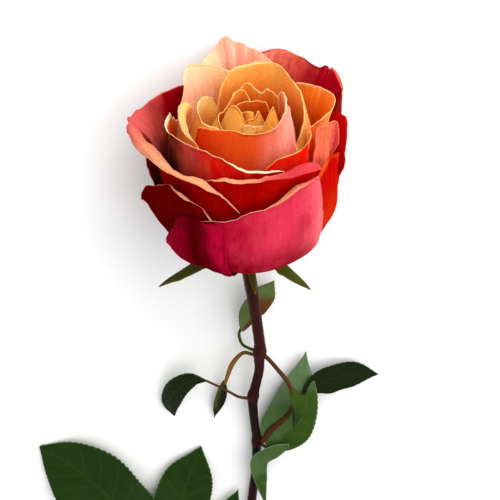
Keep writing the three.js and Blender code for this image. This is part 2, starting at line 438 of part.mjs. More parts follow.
// Leaves: each is its stalks and leaflets fused into one body.
const LEAVES = {
  leaf_behind: [
    stalk([[0.6, -95.6, 8.6, 0.7], [-2.4, -95.2, 6, 0.7], [-3.8, -90.6, 5, 0.7], [-2.2, -85.4, 5.2, 0.6]]),
    leafBlade([[-2.4, -88.7, 5.2, 0.25], [0.8, -77.9, 6.2, 0.3], [5.6, -69.4, 7.2, 0.25], [11.4, -61, 7.6, 0.1]],
      6.4, [0.3, 0, 1], BLUNT),
  ],
  leaf_narrow: [
    stalk([[2, -98.2, 9.6, 0.7], [-2.2, -97.6, 9, 0.8], [-7.3, -105, 7.2, 1], [-11.2, -118.6, 4.8, 0.8]]),
    leafBlade([[-10.9, -116.5, 4.9, 0.3], [-12.5, -125.5, 3.6, 0.35], [-14.3, -133.7, 2.4, 0.3],
      [-16.2, -142.1, 1.2, 0.1]], 2.8, [0.25, 0, 1]),
  ],
  leaf_arched: [
    stalk([[-0.5, -124.4, 7.9, 0.8], [-4.6, -122.6, 8.9, 0.7], [-10.3, -117.5, 10.3, 0.6], [-20, -110.4, 11.9, 0.6]]),
    leafBlade([[-18.7, -110.9, 12, 0.1], [-25.5, -111.8, 11.6, -0.2], [-32.2, -120.4, 8.4, -0.3],
      [-35.2, -130.4, 5.5, -0.25], [-35, -139.3, 3, -0.1]], 7, [-0.35, 0, 1], FULL),
  ],
  leaf_folded: [
    stalk([[8.4, -98.4, 11.6, 0.9], [12.7, -102.6, 13.6, 0.8], [18.5, -110, 16, 0.8], [20, -117.8, 15.8, 0.6]]),
    leafBlade([[19, -111.8, 16, 0.2], [20.4, -120.8, 15.4, 0.9], [21, -130.8, 14, 0.9], [21.8, -141.5, 12, 0.2]], 4.2,
      [0.8, 0, 0.6]),
  ],
  leaf_broad: [
    stalk([[7.6, -151.4, 5.2, 0.9], [11.6, -144.3, 5.9, 0.8], [19.5, -134.7, 6.4, 0.7], [23, -123.8, 6.2, 0.6]]),
    leafBlade([[11.6, -158.3, 5.2, 0.05], [17.2, -146.5, 6, 0.08], [22.6, -127.3, 5.9, 0.1], [26.5, -100.5, 4, 0]], 12.5,
      [-0.1, 0, 1], [0.9, 0.75]),
    stalk([[22.8, -126, 6.3, 0.6], [26, -122.6, 6.2, 0.6], [31, -118.6, 5.7, 0.6], [36, -116.6, 5, 0.6]]),
    leafBlade([[25.4, -123.2, 6.3, 0.05], [33.4, -117.4, 5.5, 0.1], [45, -114.3, 3.4, 0.1],
      [60.8, -116.2, 0.45, 0]], 8.4, [0.1, 0, 1]),
  ],
  leaf_strip: [
    stalk([[8.3, -155, 6.6, 0.7], [9.6, -156.4, 8, 0.7], [9.4, -157.8, 9, 0.6], [6, -160.6, 9.6, 0.5]]),
    leafBlade([[20, -152.5, 8.4, 0], [12.4, -156, 9.4, 0.05], [5.6, -161.3, 9.9, 0.1], [6.6, -176.2, 8.8, 0.15],
      [9.8, -200.3, 4.6, 0]], 4.6, [0.1, 0, 1]),
  ],
  leaf_low: [
    stalk([[-1.8, -216.6, 2.9, 0.9], [-13, -223.5, 2.6, 0.9], [-28, -228, 2.2, 0.8], [-45, -225, 1.9, 0.8],
      [-60, -206, 3, 0.7]], 12),
    leafBlade([[-54, -215, 2.3, 0.05], [-67, -196, 3.7, 0.08], [-84, -174, 3.3, 0.08],
      [-102.3, -160.4, 0.5, 0]], 21, [0, 0, 1], FULL),
    stalk([[-37, -227.4, 2.1, 0.7], [-38, -222, 2.2, 0.7], [-37.4, -214, 2.8, 0.6], [-36.4, -206, 3.4, 0.6]], 4),
    leafBlade([[-38, -219, 2.3, 0.05], [-36, -203, 3.7, 0.08], [-30.4, -181, 3.7, 0.08], [-23, -159.8, 1.2, 0]], 14.5,
      [0, 0, 1], FULL),
    leafBlade([[-12.4, -222, 2.6, 0.05], [-11.6, -207, 3.7, 0.1], [-8.4, -196.4, 4, 0.1], [-4.6, -186, 3.4, 0]], 5.4,
      [0, 0, 1]),
    leafBlade([[-41, -227.6, 1.9, 0.05], [-57, -243, 3.1, 0.08], [-72, -263, 2.7, 0.08], [-84, -286, 0.5, 0]], 15.5,
      [0, 0, 1], FULL),
    leafBlade([[-17, -225.4, 2.4, 0.05], [-23, -242, 3.1, 0.08], [-31, -262, 2.7, 0.08], [-41, -284, 0.6, 0]], 12.5,
      [0, 0, 1], FULL),
  ],
};
for (const [name, parts] of Object.entries(LEAVES)) {
  rose.add(toMesh(name, join(parts), LEAF_COLOURS[name]));
}

export default rose;
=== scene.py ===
import math

import bpy
import numpy as np
from mathutils import Matrix, Vector


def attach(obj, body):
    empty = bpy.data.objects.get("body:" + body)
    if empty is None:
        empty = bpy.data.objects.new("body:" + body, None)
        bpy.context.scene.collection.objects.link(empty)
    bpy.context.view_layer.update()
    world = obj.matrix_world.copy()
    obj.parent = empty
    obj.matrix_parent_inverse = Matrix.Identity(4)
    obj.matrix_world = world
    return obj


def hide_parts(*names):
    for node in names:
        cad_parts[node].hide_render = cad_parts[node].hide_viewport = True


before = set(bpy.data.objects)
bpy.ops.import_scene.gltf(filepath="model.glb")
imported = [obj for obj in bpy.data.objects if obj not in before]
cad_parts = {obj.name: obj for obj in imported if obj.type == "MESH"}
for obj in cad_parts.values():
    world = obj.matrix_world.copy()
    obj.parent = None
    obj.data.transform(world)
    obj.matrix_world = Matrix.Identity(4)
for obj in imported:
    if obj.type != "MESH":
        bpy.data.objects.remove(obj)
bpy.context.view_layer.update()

bl_info = {
    "name": "Cut hybrid tea rose",
    "version": (1, 0, 0),
    "blender": (4, 5, 0),
    "location": "3D View > Sidebar > Rose",
    "description": "A cut rose lying on its back petals: bloom, hip, stem and leaves, with a studio stage",
    "category": "Add Mesh",
}

MM = 0.001

# Each petal: inset of its layer, root azimuth, share of the width at the root, flare power, curl of the
# lip in degrees, then the rim from side to side as (azimuth, radius, height, lip length); a row without a
# lip has the plain one. Millimetres and degrees; azimuth 0 faces the camera and 90 the bloom's right.
PETALS = {
    "back_y": (-0.9, 181, 0.25, 3, 70, [(128, 34.8, 20), (134, 36.2, 27, 0.6), (142, 37, 33.5, 1),
        (152, 37.8, 40, 1.6), (164, 38.4, 45, 2.2), (176, 38.9, 48.3, 2.6), (188, 39, 48.8, 2.6),
        (200, 38.7, 47, 2), (211, 38, 43, 1.6), (222, 37, 36, 1), (231, 35.4, 25)]),
    "front_b": (-0.9, -24, 0.3, 3, 110, [(-58, 31.8, 13, 0.6), (-53, 34.4, 21, 0.6), (-46, 36, 29.5, 0.8),
        (-39, 36.4, 36.8, 0.9), (-32, 36.3, 39.8, 0.7), (-25, 36.1, 41), (-19, 35.7, 41),
        (-13, 35.2, 40.4), (-11.5, 34.9, 32), (-11, 33.4, 20), (-11, 28, 10)]),
    "front_a": (0.4, 4, 0.3, 3, 120, [(-38, 34.6, 29), (-32, 35, 36), (-22, 34.9, 40, 0.8),
        (-10, 34.3, 41.5, 0.8), (1, 33.9, 45, 1.6), (13, 33.4, 46.8, 2), (25, 33.3, 50.7, 4),
        (34, 34.2, 53.8, 2.5), (40, 35.2, 54.6, 1), (44, 35.2, 46), (47, 34.8, 34), (50, 32.8, 21),
        (52, 28.6, 12, 0.4)]),
    "back_m": (0.4, 140, 0.25, 6, 30, [(110, 36, 38), (113, 37.2, 48), (117, 38.3, 54.5),
        (123, 39.6, 58.5), (132, 41, 61.3, 0.6), (139, 38.6, 60.6, 0.6), (149, 38.5, 62, 0.6),
        (162, 38.5, 63, 0.6), (173, 37.5, 61.5, 0.6), (184, 35.5, 54, 0.6)]),
    "left_c": (1.7, -66, 0.3, 2.2, 140, [(-116, 31, 7), (-102, 37.4, 15, 0.6), (-89, 38.2, 23.5, 0.6),
        (-77, 37.6, 33.5, 0.6), (-64, 36.6, 41.4), (-50, 35.6, 48.2), (-42, 35, 49, 1.5),
        (-35, 34.6, 47.6, 2.4), (-29, 34.2, 45.2, 1.3), (-24, 33.8, 42, 0.4), (-17, 33.2, 36, 0.4)]),
    "right_n": (1.7, 56, 0.3, 5, 40, [(20, 32.6, 31), (32, 32.9, 43), (46, 33.2, 52), (58, 32.8, 54.6),
        (67, 32.3, 53.2), (72, 31.7, 48.4, 0.6), (74, 31, 41, 0.6), (75, 30, 32, 0.8),
        (75, 28.6, 22.5, 0.8), (73, 26, 13.5, 0.8), (69, 22.2, 7, 0.8)]),
    "right_u": (3, 107, 0.3, 5, 40, [(88, 31, 33), (91, 33.2, 37, 0.6), (94, 35, 41.5, 0.6),
        (98, 36.4, 45, 0.6), (103, 37.2, 47.6, 0.6), (109, 37.4, 49.8, 0.6), (116, 36.6, 50, 0.6),
        (122, 34, 45), (128, 32, 37)]),
    "back_x": (3, -128, 0.3, 4, 30, [(-66, 33, 34), (-76, 34.4, 37), (-86, 35, 40), (-98, 35.8, 42),
        (-115, 36.6, 44), (-133, 37, 46), (-148, 36.8, 46), (-164, 36, 44), (-176, 34, 38)]),
    "left_c2": (3, -34, 0.3, 6, 100, [(-60, 32.2, 40), (-46, 32.6, 44.5, 0.6), (-35, 32.6, 44),
        (-26, 32.5, 40.4), (-18, 32.2, 36.5), (-11, 32, 32, 0.4)]),
    "left_d": (4.3, -70, 0.2, 7, 125, [(-152, 35.5, 46), (-142, 37.5, 52.5), (-124, 38.6, 53.2),
        (-112, 40.5, 53, 0.6), (-103, 42.8, 52.2, 1), (-93, 38.5, 52.5, 3), (-80, 35.2, 53.5, 5),
        (-66, 33, 54.5, 6.2), (-50, 32.4, 55, 5.8), (-36, 32.2, 54.5, 4.2), (-24, 31.9, 52.5, 2.4),
        (-13, 31.4, 48.5, 1.3), (-4, 30.9, 43)]),
    "front_e": (5.6, 8, 0.3, 5, 130, [(-40, 29, 44), (-26, 30.6, 53, 0.8), (-14, 30.2, 55.2, 2.4),
        (-4, 29.8, 55.4, 3), (10, 29.9, 56, 3.6), (23, 30.7, 57.5, 5.4), (38, 33, 58.6, 5),
        (46, 31.8, 50)]),
    "back_l": (5.6, 186, 0.22, 7, 25, [(150, 31, 48), (160, 34, 55.5), (168, 35.8, 60.5), (177, 36.8, 64),
        (187, 37.5, 66), (192, 38.3, 67.8), (197, 37.5, 65.4), (208, 35.6, 60.7), (218, 33, 55),
        (230, 30, 47)]),
    "right_h": (6.9, 70, 0.3, 4, 90, [(52, 27.8, 50), (55, 27.2, 57.6, 0.6), (61, 26, 61.4, 0.8),
        (69, 26.4, 61.6, 1.2), (77, 27.8, 60.2, 1.8), (84, 29, 57, 2.4), (89, 30, 52, 2.6),
        (92, 30.6, 46, 2), (93, 29.6, 41, 0.8)]),
    "left_f": (6.9, -30, 0.25, 4, 110, [(-108, 25.6, 52, 0.6), (-98, 26.8, 57, 1), (-82, 26.4, 61, 1.4),
        (-66, 28.2, 62.4, 1.4), (-51, 28, 62.4, 0.8), (-35, 27.4, 62, 0.8), (-20, 27.2, 60.6, 1),
        (-5, 27.6, 58.3, 2.2), (10, 28.2, 57, 2.4), (23, 28.8, 56.3, 1.6), (31, 28.8, 52, 0.6)]),
    "back_k": (6.9, -136, 0.25, 6, 60, [(-106, 25.6, 50), (-109, 24.4, 58, 0.8), (-115, 25.2, 60.6, 1),
        (-128, 28.6, 60.5, 1), (-139, 31.6, 62.7, 1.6), (-150, 31.8, 62.2, 0.8), (-165, 30.2, 59.2, 0.6),
        (-176, 29, 54)]),
    "right_g": (8.2, 38, 0.3, 4, 120, [(8, 25.8, 50), (16, 25.7, 56, 0.8), (26, 26.4, 59.3, 1.4),
        (36, 27.6, 62, 1.4), (43, 28.2, 64.4, 1.6), (47, 27.4, 65.5, 1.2), (50, 26.4, 58)]),
    "left_j": (8.2, -72, 0.25, 4, 130, [(-104, 20.8, 54), (-100, 19.4, 60, 3), (-92, 19.6, 62, 5),
        (-82, 20.4, 61.4, 5.2), (-70, 21, 60, 4.6), (-60, 22, 59.5, 3), (-48, 22.8, 59, 1.6),
        (-36, 24.2, 57)]),
    "right_p": (8.2, 106, 0.25, 4, 40, [(64, 22.5, 52), (72, 22.2, 58), (85, 24.3, 57.4),
        (97, 28.2, 58.8, 0.7), (107, 31.3, 60.3, 0.8), (124, 30.2, 60.2), (138, 28, 59), (149, 26, 53)]),
    "centre_o": (9.5, 140, 0.22, 4, 25, [(58, 18.9, 44), (66, 18.6, 50.8), (77, 18.9, 54.5),
        (92, 18.9, 59.8), (112, 19.8, 63), (130, 20.7, 65.2), (148, 23.2, 66.6), (164, 24.2, 66.4),
        (182, 24, 64.4), (196, 22.3, 62), (208, 20.8, 57), (216, 19.4, 49)]),
    "front_i": (10.8, -8, 0.25, 4, 80, [(-63, 20.8, 50), (-58, 19.6, 58.5, 0.6), (-50, 19.3, 63.2, 0.7),
        (-35, 19.2, 64.8), (-19, 19, 65.5), (3, 19, 65.5), (20, 19.5, 65.9, 0.7), (31, 20.6, 68, 1.2),
        (39, 20.4, 72.4, 1.2), (48, 18.6, 70, 0.6), (54, 18.6, 58)]),
    "inner_q": (12.1, -80, 0.25, 4, 40, [(-138, 15.2, 54), (-128, 15.4, 60.3), (-114, 15.6, 62.5, 0.7),
        (-95, 16.7, 63, 0.8), (-76, 15.4, 60, 0.6), (-55, 15.4, 61.2), (-34, 16, 63), (-20, 16.4, 58)]),
    "inner_r3": (14.1, 160, 0.25, 4, 30, [(120, 17.4, 51), (134, 15.4, 60), (144, 15, 61.9),
        (153, 15.5, 60.4), (160, 15.5, 58.9), (168, 16, 59.7), (178, 16, 61.6), (192, 16.2, 57.5),
        (204, 17.6, 50)]),
    "inner_r1": (16.1, -110, 0.25, 4, 25, [(-20, 12.8, 56), (-40, 12.8, 60.6), (-66, 10.8, 60.6),
        (-92, 9.6, 59.4), (-120, 9.8, 57.6), (-146, 11.4, 57.6), (-162, 12.4, 60.4), (-176, 12.4, 60.8),
        (-190, 12, 56)]),
    "inner_t": (16.1, 88, 0.25, 4, 30, [(46, 15, 52), (58, 14, 60.5), (72, 13.8, 64.2), (84, 12.8, 67),
        (96, 11.8, 67.6), (108, 11.4, 65), (120, 13.4, 56)]),
    "inner_r5": (18.6, 40, 0.25, 4, 20, [(-8, 11.6, 49), (6, 9.4, 56.5), (20, 8.9, 59), (34, 9.5, 60.4),
        (44, 10, 63.4), (60, 10, 66), (78, 9.6, 63), (92, 11, 54)]),
    "inner_r2": (20, 172, 0.3, 4, 20, [(100, 10.8, 50), (120, 9, 58), (140, 9, 60.4), (168, 9, 59.2),
        (194, 9, 59), (222, 9, 57.5), (240, 10.6, 49)]),
    "inner_r4": (21.6, -60, 0.3, 4, 20, [(-124, 6.4, 56), (-100, 6.4, 61), (-70, 6.2, 64.5), (-42, 6, 66),
        (-20, 6, 64.6), (-6, 6.2, 61), (8, 6.6, 57)]),
    "heart_1": (24.2, 20, 0.4, 4, 15, [(-50, 3.8, 56, 0.4), (-20, 4.1, 59, 0.4), (10, 4.2, 60.4, 0.4),
        (40, 4.2, 60.8, 0.4), (70, 4, 61.8, 0.4), (100, 4, 60, 0.4), (130, 3.8, 56, 0.4)]),
    "heart_2": (26, -150, 0.4, 4, 15, [(-240, 2.6, 55, 0.4), (-200, 3, 58.4, 0.4), (-160, 3.4, 58.8, 0.4),
        (-130, 3.2, 58.6, 0.4), (-95, 2.8, 57, 0.4), (-70, 2.5, 54, 0.4)]),
    "heart_cup": (22.6, 26, 0.4, 4, 60, [(-24, 7.2, 55, 0.4), (-10, 7.5, 59.4, 0.6), (4, 7.8, 60.3, 1),
        (20, 7.9, 60.3, 1.2), (36, 7.8, 59.4, 1), (52, 7.6, 57.9, 0.6), (66, 7.4, 54, 0.4)]),
    "heart_curl": (28, 50, 0.4, 4, 20, [(-30, 1.6, 56, 0.4), (0, 2.1, 61.4, 0.4), (30, 2.2, 62, 0.4),
        (60, 2.3, 61.6, 0.4), (90, 2.4, 60.2, 0.4), (130, 2.2, 56, 0.4)]),
}
# The petals in the order in which they are made: the outer ones, then the heart.
OUTER = ("back_y", "front_b", "front_a", "back_m", "left_c", "right_n", "right_u", "back_x", "left_c2",
         "left_d", "front_e", "back_l", "right_h", "left_f", "back_k")
HEART = ("right_g", "left_j", "right_p", "centre_o", "front_i", "inner_q", "inner_r3", "inner_r1",
         "inner_t", "inner_r5", "inner_r2", "inner_r4", "heart_1", "heart_2", "heart_cup", "heart_curl")

# Finish of each petal: end of its slot's name; outer face's foot, start, middle and end; inner
# face's throat, start, middle and end; rim and its width in mm; the lip's start and end; and, where it
# isn't the usual middle, where the middle lies across and how far it reaches. Start and end follow the
# rim's rows.
PAINT = {
    # Painted light and shade on the front petal: garnet at its foot and left side and rose on its lit right
    # side, partly its own crimson to pink.
    "front_a": ("crimson", "garnet magenta fuchsia rose", "ruby rose rose rosewood", "blush", 0.4,
        "tan rosewood", 0.5, 0.26),
    # Painted light and shade on the lower petal: magenta paints the highlights on its folds and wine the
    # shade in the hollow between them.
    "front_b": ("crimson", "wine magenta wine magenta", "wine crimson crimson crimson", "garnet", 0.2,
        "garnet garnet", 0.42, 0.26),
    "back_y": ("crimson", "garnet crimson magenta rose", "ruby rose rose rose", "dusk", 0.5, "dusk dusk"),
    "back_x": ("crimson", "garnet garnet crimson magenta", "wine ruby ruby rosewood", "dusk", 0.4,
        "dusk dusk"),
    "back_m": ("crimson", "ruby ruby crimson rose", "ruby garnet crimson salmon", "dusk", 0.4, "dusk dusk",
        0.52, 0.36),
    # The left petals' maroon, claret and wine are partly their own deep red and partly painted shade, on
    # the side away from the key light.
    "left_c": ("crimson", "maroon garnet claret claret", "maroon wine wine maroon", "copper", 0.3,
        "copper tan", 0.2, 0.14),
    "left_c2": ("coral", "maroon maroon wine wine", "maroon ruby rosewood coral", "tan", 0.4,
        "copper copper"),
    # Painted light and shade on the big left petal's inner face: rosewood where light falls near its tip,
    # sloe in its throat, partly its own colour.
    "left_d": ("coral", "wine crimson garnet ruby", "sloe garnet rosewood wine", "mauve", 0.5,
        "rosewood tan", 0.33, 0.17),
    "right_n": ("crimson", "vermilion ruby cherry marigold", "ruby cherry flame flame", "marigold", 3.6,
        "cherry marigold", 0.5, 0.14),
    "right_u": ("crimson", "ruby ruby ruby ruby", "garnet ruby cherry ruby", "cherry", 0.3,
        "scarlet scarlet"),
    "front_e": ("crimson", "wine ruby ruby scarlet", "ruby scarlet scarlet scarlet", "tan", 0.3,
        "tan mauve"),
    "back_l": ("pale", "coral salmon blush peach", "coral salmon veil cream", "rosewood", 0.35,
        "blush peach", 0.52, 0.22),
    # Painted shade: poppy on the rolled petal's shaded side and mauve on the lower right of its fold.
    "right_h": ("coral", "cherry poppy coral mauve", "scarlet coral salmon mauve", "salmon", 0.35,
        "coral rosewood"),
    # Painted shade: sloe darkens the left part of this petal, which faces away from the light.
    "left_f": ("coral", "wine sloe brick scarlet", "ruby rust coral scarlet", "cream", 0.35, "cream cream",
        0.46, 0.13),
    "back_k": ("pale", "coral peach peach peach", "coral peach shell peach", "cream", 0.5, "peach peach",
        0.5, 0.35),
    "right_g": ("crimson", "scarlet scarlet scarlet scarlet", "scarlet coral coral coral", "amber", 0.4,
        "amber amber"),
    "left_j": ("pale", "rust amber amber amber", "rust amber amber amber", "straw", 0.5, "sand apricot"),
    "right_p": ("orange", "scarlet vermilion amber orange", "vermilion orange orange orange", "peach", 0.5,
        "peach peach"),
    "centre_o": ("orange", "orange amber amber amber", "orange amber amber amber", "straw", 0.5,
        "straw straw"),
    "front_i": ("orange", "ruby vermilion ember pink", "rust orange orange coral", "peach", 0.35,
        "amber pink", 0.46, 0.34),
    "inner_q": ("orange", "rust orange amber amber", "rust straw straw amber", "straw", 0.5,
        "straw straw"),
    "heart_cup": ("orange", "orange straw straw straw", "orange straw straw straw", "cream", 0.5,
        "cream cream"),
    "inner_t": ("orange", "coral salmon salmon salmon", "coral peach peach salmon", "cream", 0.35,
        "cream cream"),
}
HEART_PAINT = ("orange", "orange amber amber amber", "orange honey honey honey", "straw", 0.16,
    "straw straw")
# Rust in the innermost petals is partly painted shade, in the depths of the heart.
CORE_PAINT = ("orange", "rust orange amber orange", "rust rust orange orange", "straw", 0.2, "straw straw")
PAINT |= dict.fromkeys(("inner_r5", "inner_r2", "heart_1", "heart_2", "heart_curl"), CORE_PAINT)
USUAL_MIDDLE = (0.5, 0.4)

# Second colour that mottles a petal in loose streaks, and how much of it.
MOTTLES = {"front_i": ("vermilion", 0.15), "front_a": ("rose", 0.09), "left_f": ("coral", 0.22),
    "centre_o": ("peach", 0.25), "back_l": ("cream", 0.3), "back_k": ("cream", 0.3),
    "back_m": ("garnet", 0.5), "left_d": ("garnet", 0.2), "right_p": ("vermilion", 0.3),
    # The left petal's sloe streaks are painted shade.
    "right_n": ("ruby", 0.4), "right_h": ("salmon", 0.45), "left_c": ("sloe", 0.25),
    "front_b": ("maroon", 0.45)}

# Folds pressed into a petal: (place across at its foot, at its top, width as a share, height in mm).
FOLDS = {
    "front_b": ((0.34, 0.16, 0.09, 1.5), (0.46, 0.36, 0.07, -0.7), (0.8, 0.55, 0.05, 1.5),
                (0.9, 0.68, 0.05, -0.4)),
    "front_a": ((0.45, 0.4, 0.12, 0.3), (0.75, 0.8, 0.2, 0.3)),
    "back_m": ((0.5, 0.45, 0.07, -1.4), (0.5, 0.62, 0.07, 0.9), (0.5, 0.3, 0.07, 1.3)),
    "back_l": ((0.5, 0.5, 0.08, -0.8), (0.5, 0.7, 0.1, 0.5)),
    "left_d": ((0.5, 0.3, 0.1, 0.5), (0.45, 0.55, 0.12, -0.4)),
    "centre_o": ((0.5, 0.62, 0.14, -0.5), (0.5, 0.3, 0.12, 0.3)),
    "right_p": ((0.5, 0.75, 0.08, -0.5),),
    "front_i": ((0.5, 0.7, 0.12, -0.4), (0.5, 0.3, 0.12, 0.3)),
    "back_k": ((0.5, 0.3, 0.1, -0.5),),
    "right_n": ((0.5, 0.62, 0.1, 0.4), (0.7, 0.78, 0.05, -0.5)),
}
# Nicks in a rim: (place across, width as a share, depth in mm).
NICKS = {
    "left_d": ((0.3, 0.012, 1.6), (0.36, 0.02, 0.5), (0.12, 0.02, 0.8)),
    "left_f": ((0.03, 0.012, 1.0), (0.075, 0.012, 0.8), (0.12, 0.015, 0.6), (0.17, 0.015, 0.4)),
    "back_m": ((0.46, 0.012, 1.4), (0.52, 0.02, 0.5)),
    "right_u": ((0.3, 0.05, 0.8), (0.7, 0.03, 0.6)),
    "back_l": ((0.35, 0.02, 0.4),),
    "front_i": ((0.8, 0.02, 1.2), (0.9, 0.015, 1.0)),
}
# How far a rim waves, in mm, where it isn't the usual amount.
WAVES = {"left_d": 0.7, "front_b": 0.15, "back_m": 0.8, "right_u": 0.9, "right_n": 0.6, "front_a": 0.25,
    "front_e": 0.3, "left_f": 0.4, "heart_1": 0.2, "heart_2": 0.2}
USUAL_WAVE = 0.45

# Sepals as (azimuth, length out, drop at the tip, half width), mm and degrees.
SEPALS = ((-78, 36, -17, 4.6), (10, 19, -9.6, 1.9), (65, 27.5, -14.4, 4.3), (138, 24, -9, 3.2),
          (210, 24, -9, 3.2))
# Radius and height at which a sepal leaves the hip.
SEPAL_FOOT = (2.5, -4.6)
# Hip and receptacle as (radius, height) along the bloom's axis.
HIP_PROFILE = ((2.75, -10.5), (3.3, -9.6), (4.4, -8), (5, -5.8), (4.75, -4.7), (4.5, -4.2), (4.9, -3.45),
               (3.85, -3.2), (3.85, 4), (3.85, 20), (3, 27))

# Stem centre line as (x, y, z, radius) from the hip to the cut end.
STEM = ((0, -43.2, 23.29, 2.75), (2.4, -62.7, 18.6, 2.45), (4.2, -78.8, 15.2, 2.3), (5.3, -89.8, 13.2, 2.4),
        (5.4, -95.3, 12, 2.95), (5.2, -99.8, 11.1, 2.35), (5.2, -107.1, 9.8, 2.1), (3.3, -118.8, 8, 2.2),
        (2.6, -123.1, 7.5, 2.7), (2.4, -128.8, 6.9, 2.2), (3.3, -141.8, 5.8, 2), (4.2, -148.8, 5.3, 2.2),
        (4.4, -153.3, 5, 2.6), (4.3, -158.8, 4.7, 2.15), (3.8, -173.8, 3.9, 2.1), (2.1, -193.8, 3.2, 2.2),
        (1.5, -209, 3, 2.3), (1.5, -216, 3, 2.85), (1.4, -222, 2.9, 2.4), (1.8, -240, 2.65, 2.45),
        (2.6, -263.8, 2.65, 2.55), (2.4, -285.8, 2.7, 2.7))
# Stem points with a swelling.
KNOTS = (4, 8, 12, 17)
# Prickles as (stem points along, azimuth about the stem, length).
PRICKLES = ((18.6, 60, 4), (19.1, -75, 4.5), (19.9, 20, 4.5), (20.5, 95, 4))

# Leaflet outlines: (where it is widest, how full it is).
POINTED = (0.8, 0.85)
FULL = (1.05, 0.6)
BLUNT = (1.25, 0.6)
BROAD = (0.9, 0.75)
ROUND = (1.0, 0.5)
# Leaves: (finish, stalks of (x, y, z, radius), leaflets of (centre line of (x, y, z, rise), half width,
# facing, outline, teeth along a side)).
LEAVES = {
    "leaf_behind": ("young", [
        [(5, -96, 11, 1), (0.6, -95.6, 8.6, 0.7), (-2.4, -95.2, 6, 0.7), (-3.8, -90.6, 5, 0.7),
         (-2.2, -85.4, 5.2, 0.5)],
    ], [
        ([(-2.4, -88.7, 5.2, 0.25), (0.8, -77.9, 6.2, 0.3), (5.6, -69.4, 7.2, 0.25),
         (11.4, -61, 7.6, 0.1)], 6.4, (0.3, 0, 1), BLUNT, 14),
    ]),
    "leaf_narrow": ("dark", [
        [(4.5, -98.6, 10.6, 1), (2, -98.2, 9.6, 0.8), (-2.2, -98, 9, 0.85), (-7, -105.6, 7.2, 1.15),
         (-10.6, -118.6, 4.8, 0.8)],
    ], [
        ([(-10.9, -116.5, 4.9, 0.3), (-12.5, -125.5, 3.6, 0.35), (-14.3, -133.7, 2.4, 0.3),
         (-16.2, -142.1, 1.2, 0.1)], 2.8, (0.25, 0, 1), POINTED, 10),
    ]),
    "leaf_arched": ("dusky", [
        [(2.4, -125, 7.4, 1), (-0.5, -124.4, 7.9, 0.8), (-4.6, -122.6, 8.9, 0.65),
         (-10.3, -117.5, 10.3, 0.55), (-20, -110.4, 11.9, 0.5)],
    ], [
        ([(-18.7, -110.9, 12, 0.1), (-25.8, -111.4, 11.6, -0.2), (-33.2, -119.8, 8.4, -0.3),
         (-36.6, -130.2, 5.5, -0.25), (-34.8, -139.3, 3, -0.1)], 5.4, (-0.35, 0, 1), BLUNT, 14),
    ]),
    "leaf_folded": ("fresh", [
        [(5.6, -97, 11, 1.1), (8.4, -98.4, 11.6, 0.95), (12.7, -102.6, 13.6, 0.95), (18.5, -110, 16, 1),
         (20, -117.8, 15.8, 0.6)],
    ], [
        ([(19, -111.8, 16, 0.2), (20.4, -120.8, 15.4, 0.9), (21, -130.8, 14, 0.9),
         (21.8, -141.5, 12, 0.2)], 4.2, (0.8, 0, 0.6), POINTED, 10),
    ]),
    "leaf_broad": ("silver", [
        [(4.6, -153.6, 5, 1.4), (7.6, -151.4, 5.4, 1.6), (11.6, -144.3, 6.2, 1.6), (19.5, -134.7, 6.6, 1),
         (23, -123.8, 6.2, 0.5)],
        [(22.8, -126, 6.3, 0.6), (26, -122.6, 6.2, 0.6), (31, -118.6, 5.7, 0.6), (36, -116.6, 5, 0.4)],
    ], [
        ([(11.6, -158.3, 5.2, 0.05), (17.2, -146.5, 6, 0.08), (22.6, -127.3, 5.9, 0.1),
         (26.5, -100.5, 4, 0)], 12.5, (-0.1, 0, 1), BROAD, 24),
        ([(25.4, -123.2, 6.3, 0.05), (33.4, -117.4, 5.5, 0.1), (45, -114.3, 3.4, 0.1),
         (60.8, -116.2, 0.45, 0)], 8.2, (0.1, 0, 1), BLUNT, 20, "glossy"),
    ]),
    "leaf_strip": ("strip", [
        [(4.4, -153.8, 5.6, 1), (8.3, -155, 6.6, 0.7), (9.6, -156.4, 8, 0.7), (9.4, -157.8, 9, 0.6),
         (6, -160.6, 9.6, 0.4)],
    ], [
        ([(20, -152.5, 8.4, 0), (12.4, -156, 9.4, 0.05), (5.6, -161.3, 9.9, 0.1),
         (6.6, -176.2, 8.8, 0.15), (9.8, -200.3, 4.6, 0)], 4.6, (0.1, 0, 1), POINTED, 20),
    ]),
    "leaf_low": ("deep", [
        [(1.4, -216, 3, 1.2), (-1.8, -216.6, 2.9, 1), (-13, -223.5, 2.6, 0.9), (-28, -228, 2.2, 0.8),
         (-45, -225, 1.9, 0.75), (-60, -206, 3, 0.5)],
        [(-37, -227.4, 2.1, 0.7), (-38, -222, 2.2, 0.65), (-37.4, -214, 2.8, 0.6),
         (-36.4, -206, 3.4, 0.45)],
    ], [
        ([(-54, -215, 2.3, 0.05), (-67, -196, 3.7, 0.08), (-84, -174, 3.3, 0.08),
         (-102.3, -160.4, 0.5, 0)], 22, (0, 0, 1), ROUND, 34),
        ([(-38, -219, 2.3, 0.05), (-36, -203, 3.7, 0.08), (-30.4, -181, 3.7, 0.08),
         (-23, -159.8, 1.2, 0)], 14.5, (0, 0, 1), FULL, 26),
        ([(-12.4, -222, 2.6, 0.05), (-11.6, -207, 3.7, 0.1), (-8.4, -196.4, 4, 0.1),
         (-4.6, -186, 3.4, 0)], 5.4, (0, 0, 1), POINTED, 18),
        ([(-41, -227.6, 1.9, 0.05), (-57, -243, 3.1, 0.08), (-72, -263, 2.7, 0.08), (-84, -286, 0.5, 0)],
         15.5, (0, 0, 1), FULL, 28),
        ([(-17, -225.4, 2.4, 0.05), (-23, -242, 3.1, 0.08), (-31, -262, 2.7, 0.08), (-41, -284, 0.6, 0)],
         12.5, (0, 0, 1), FULL, 26),
    ]),
}
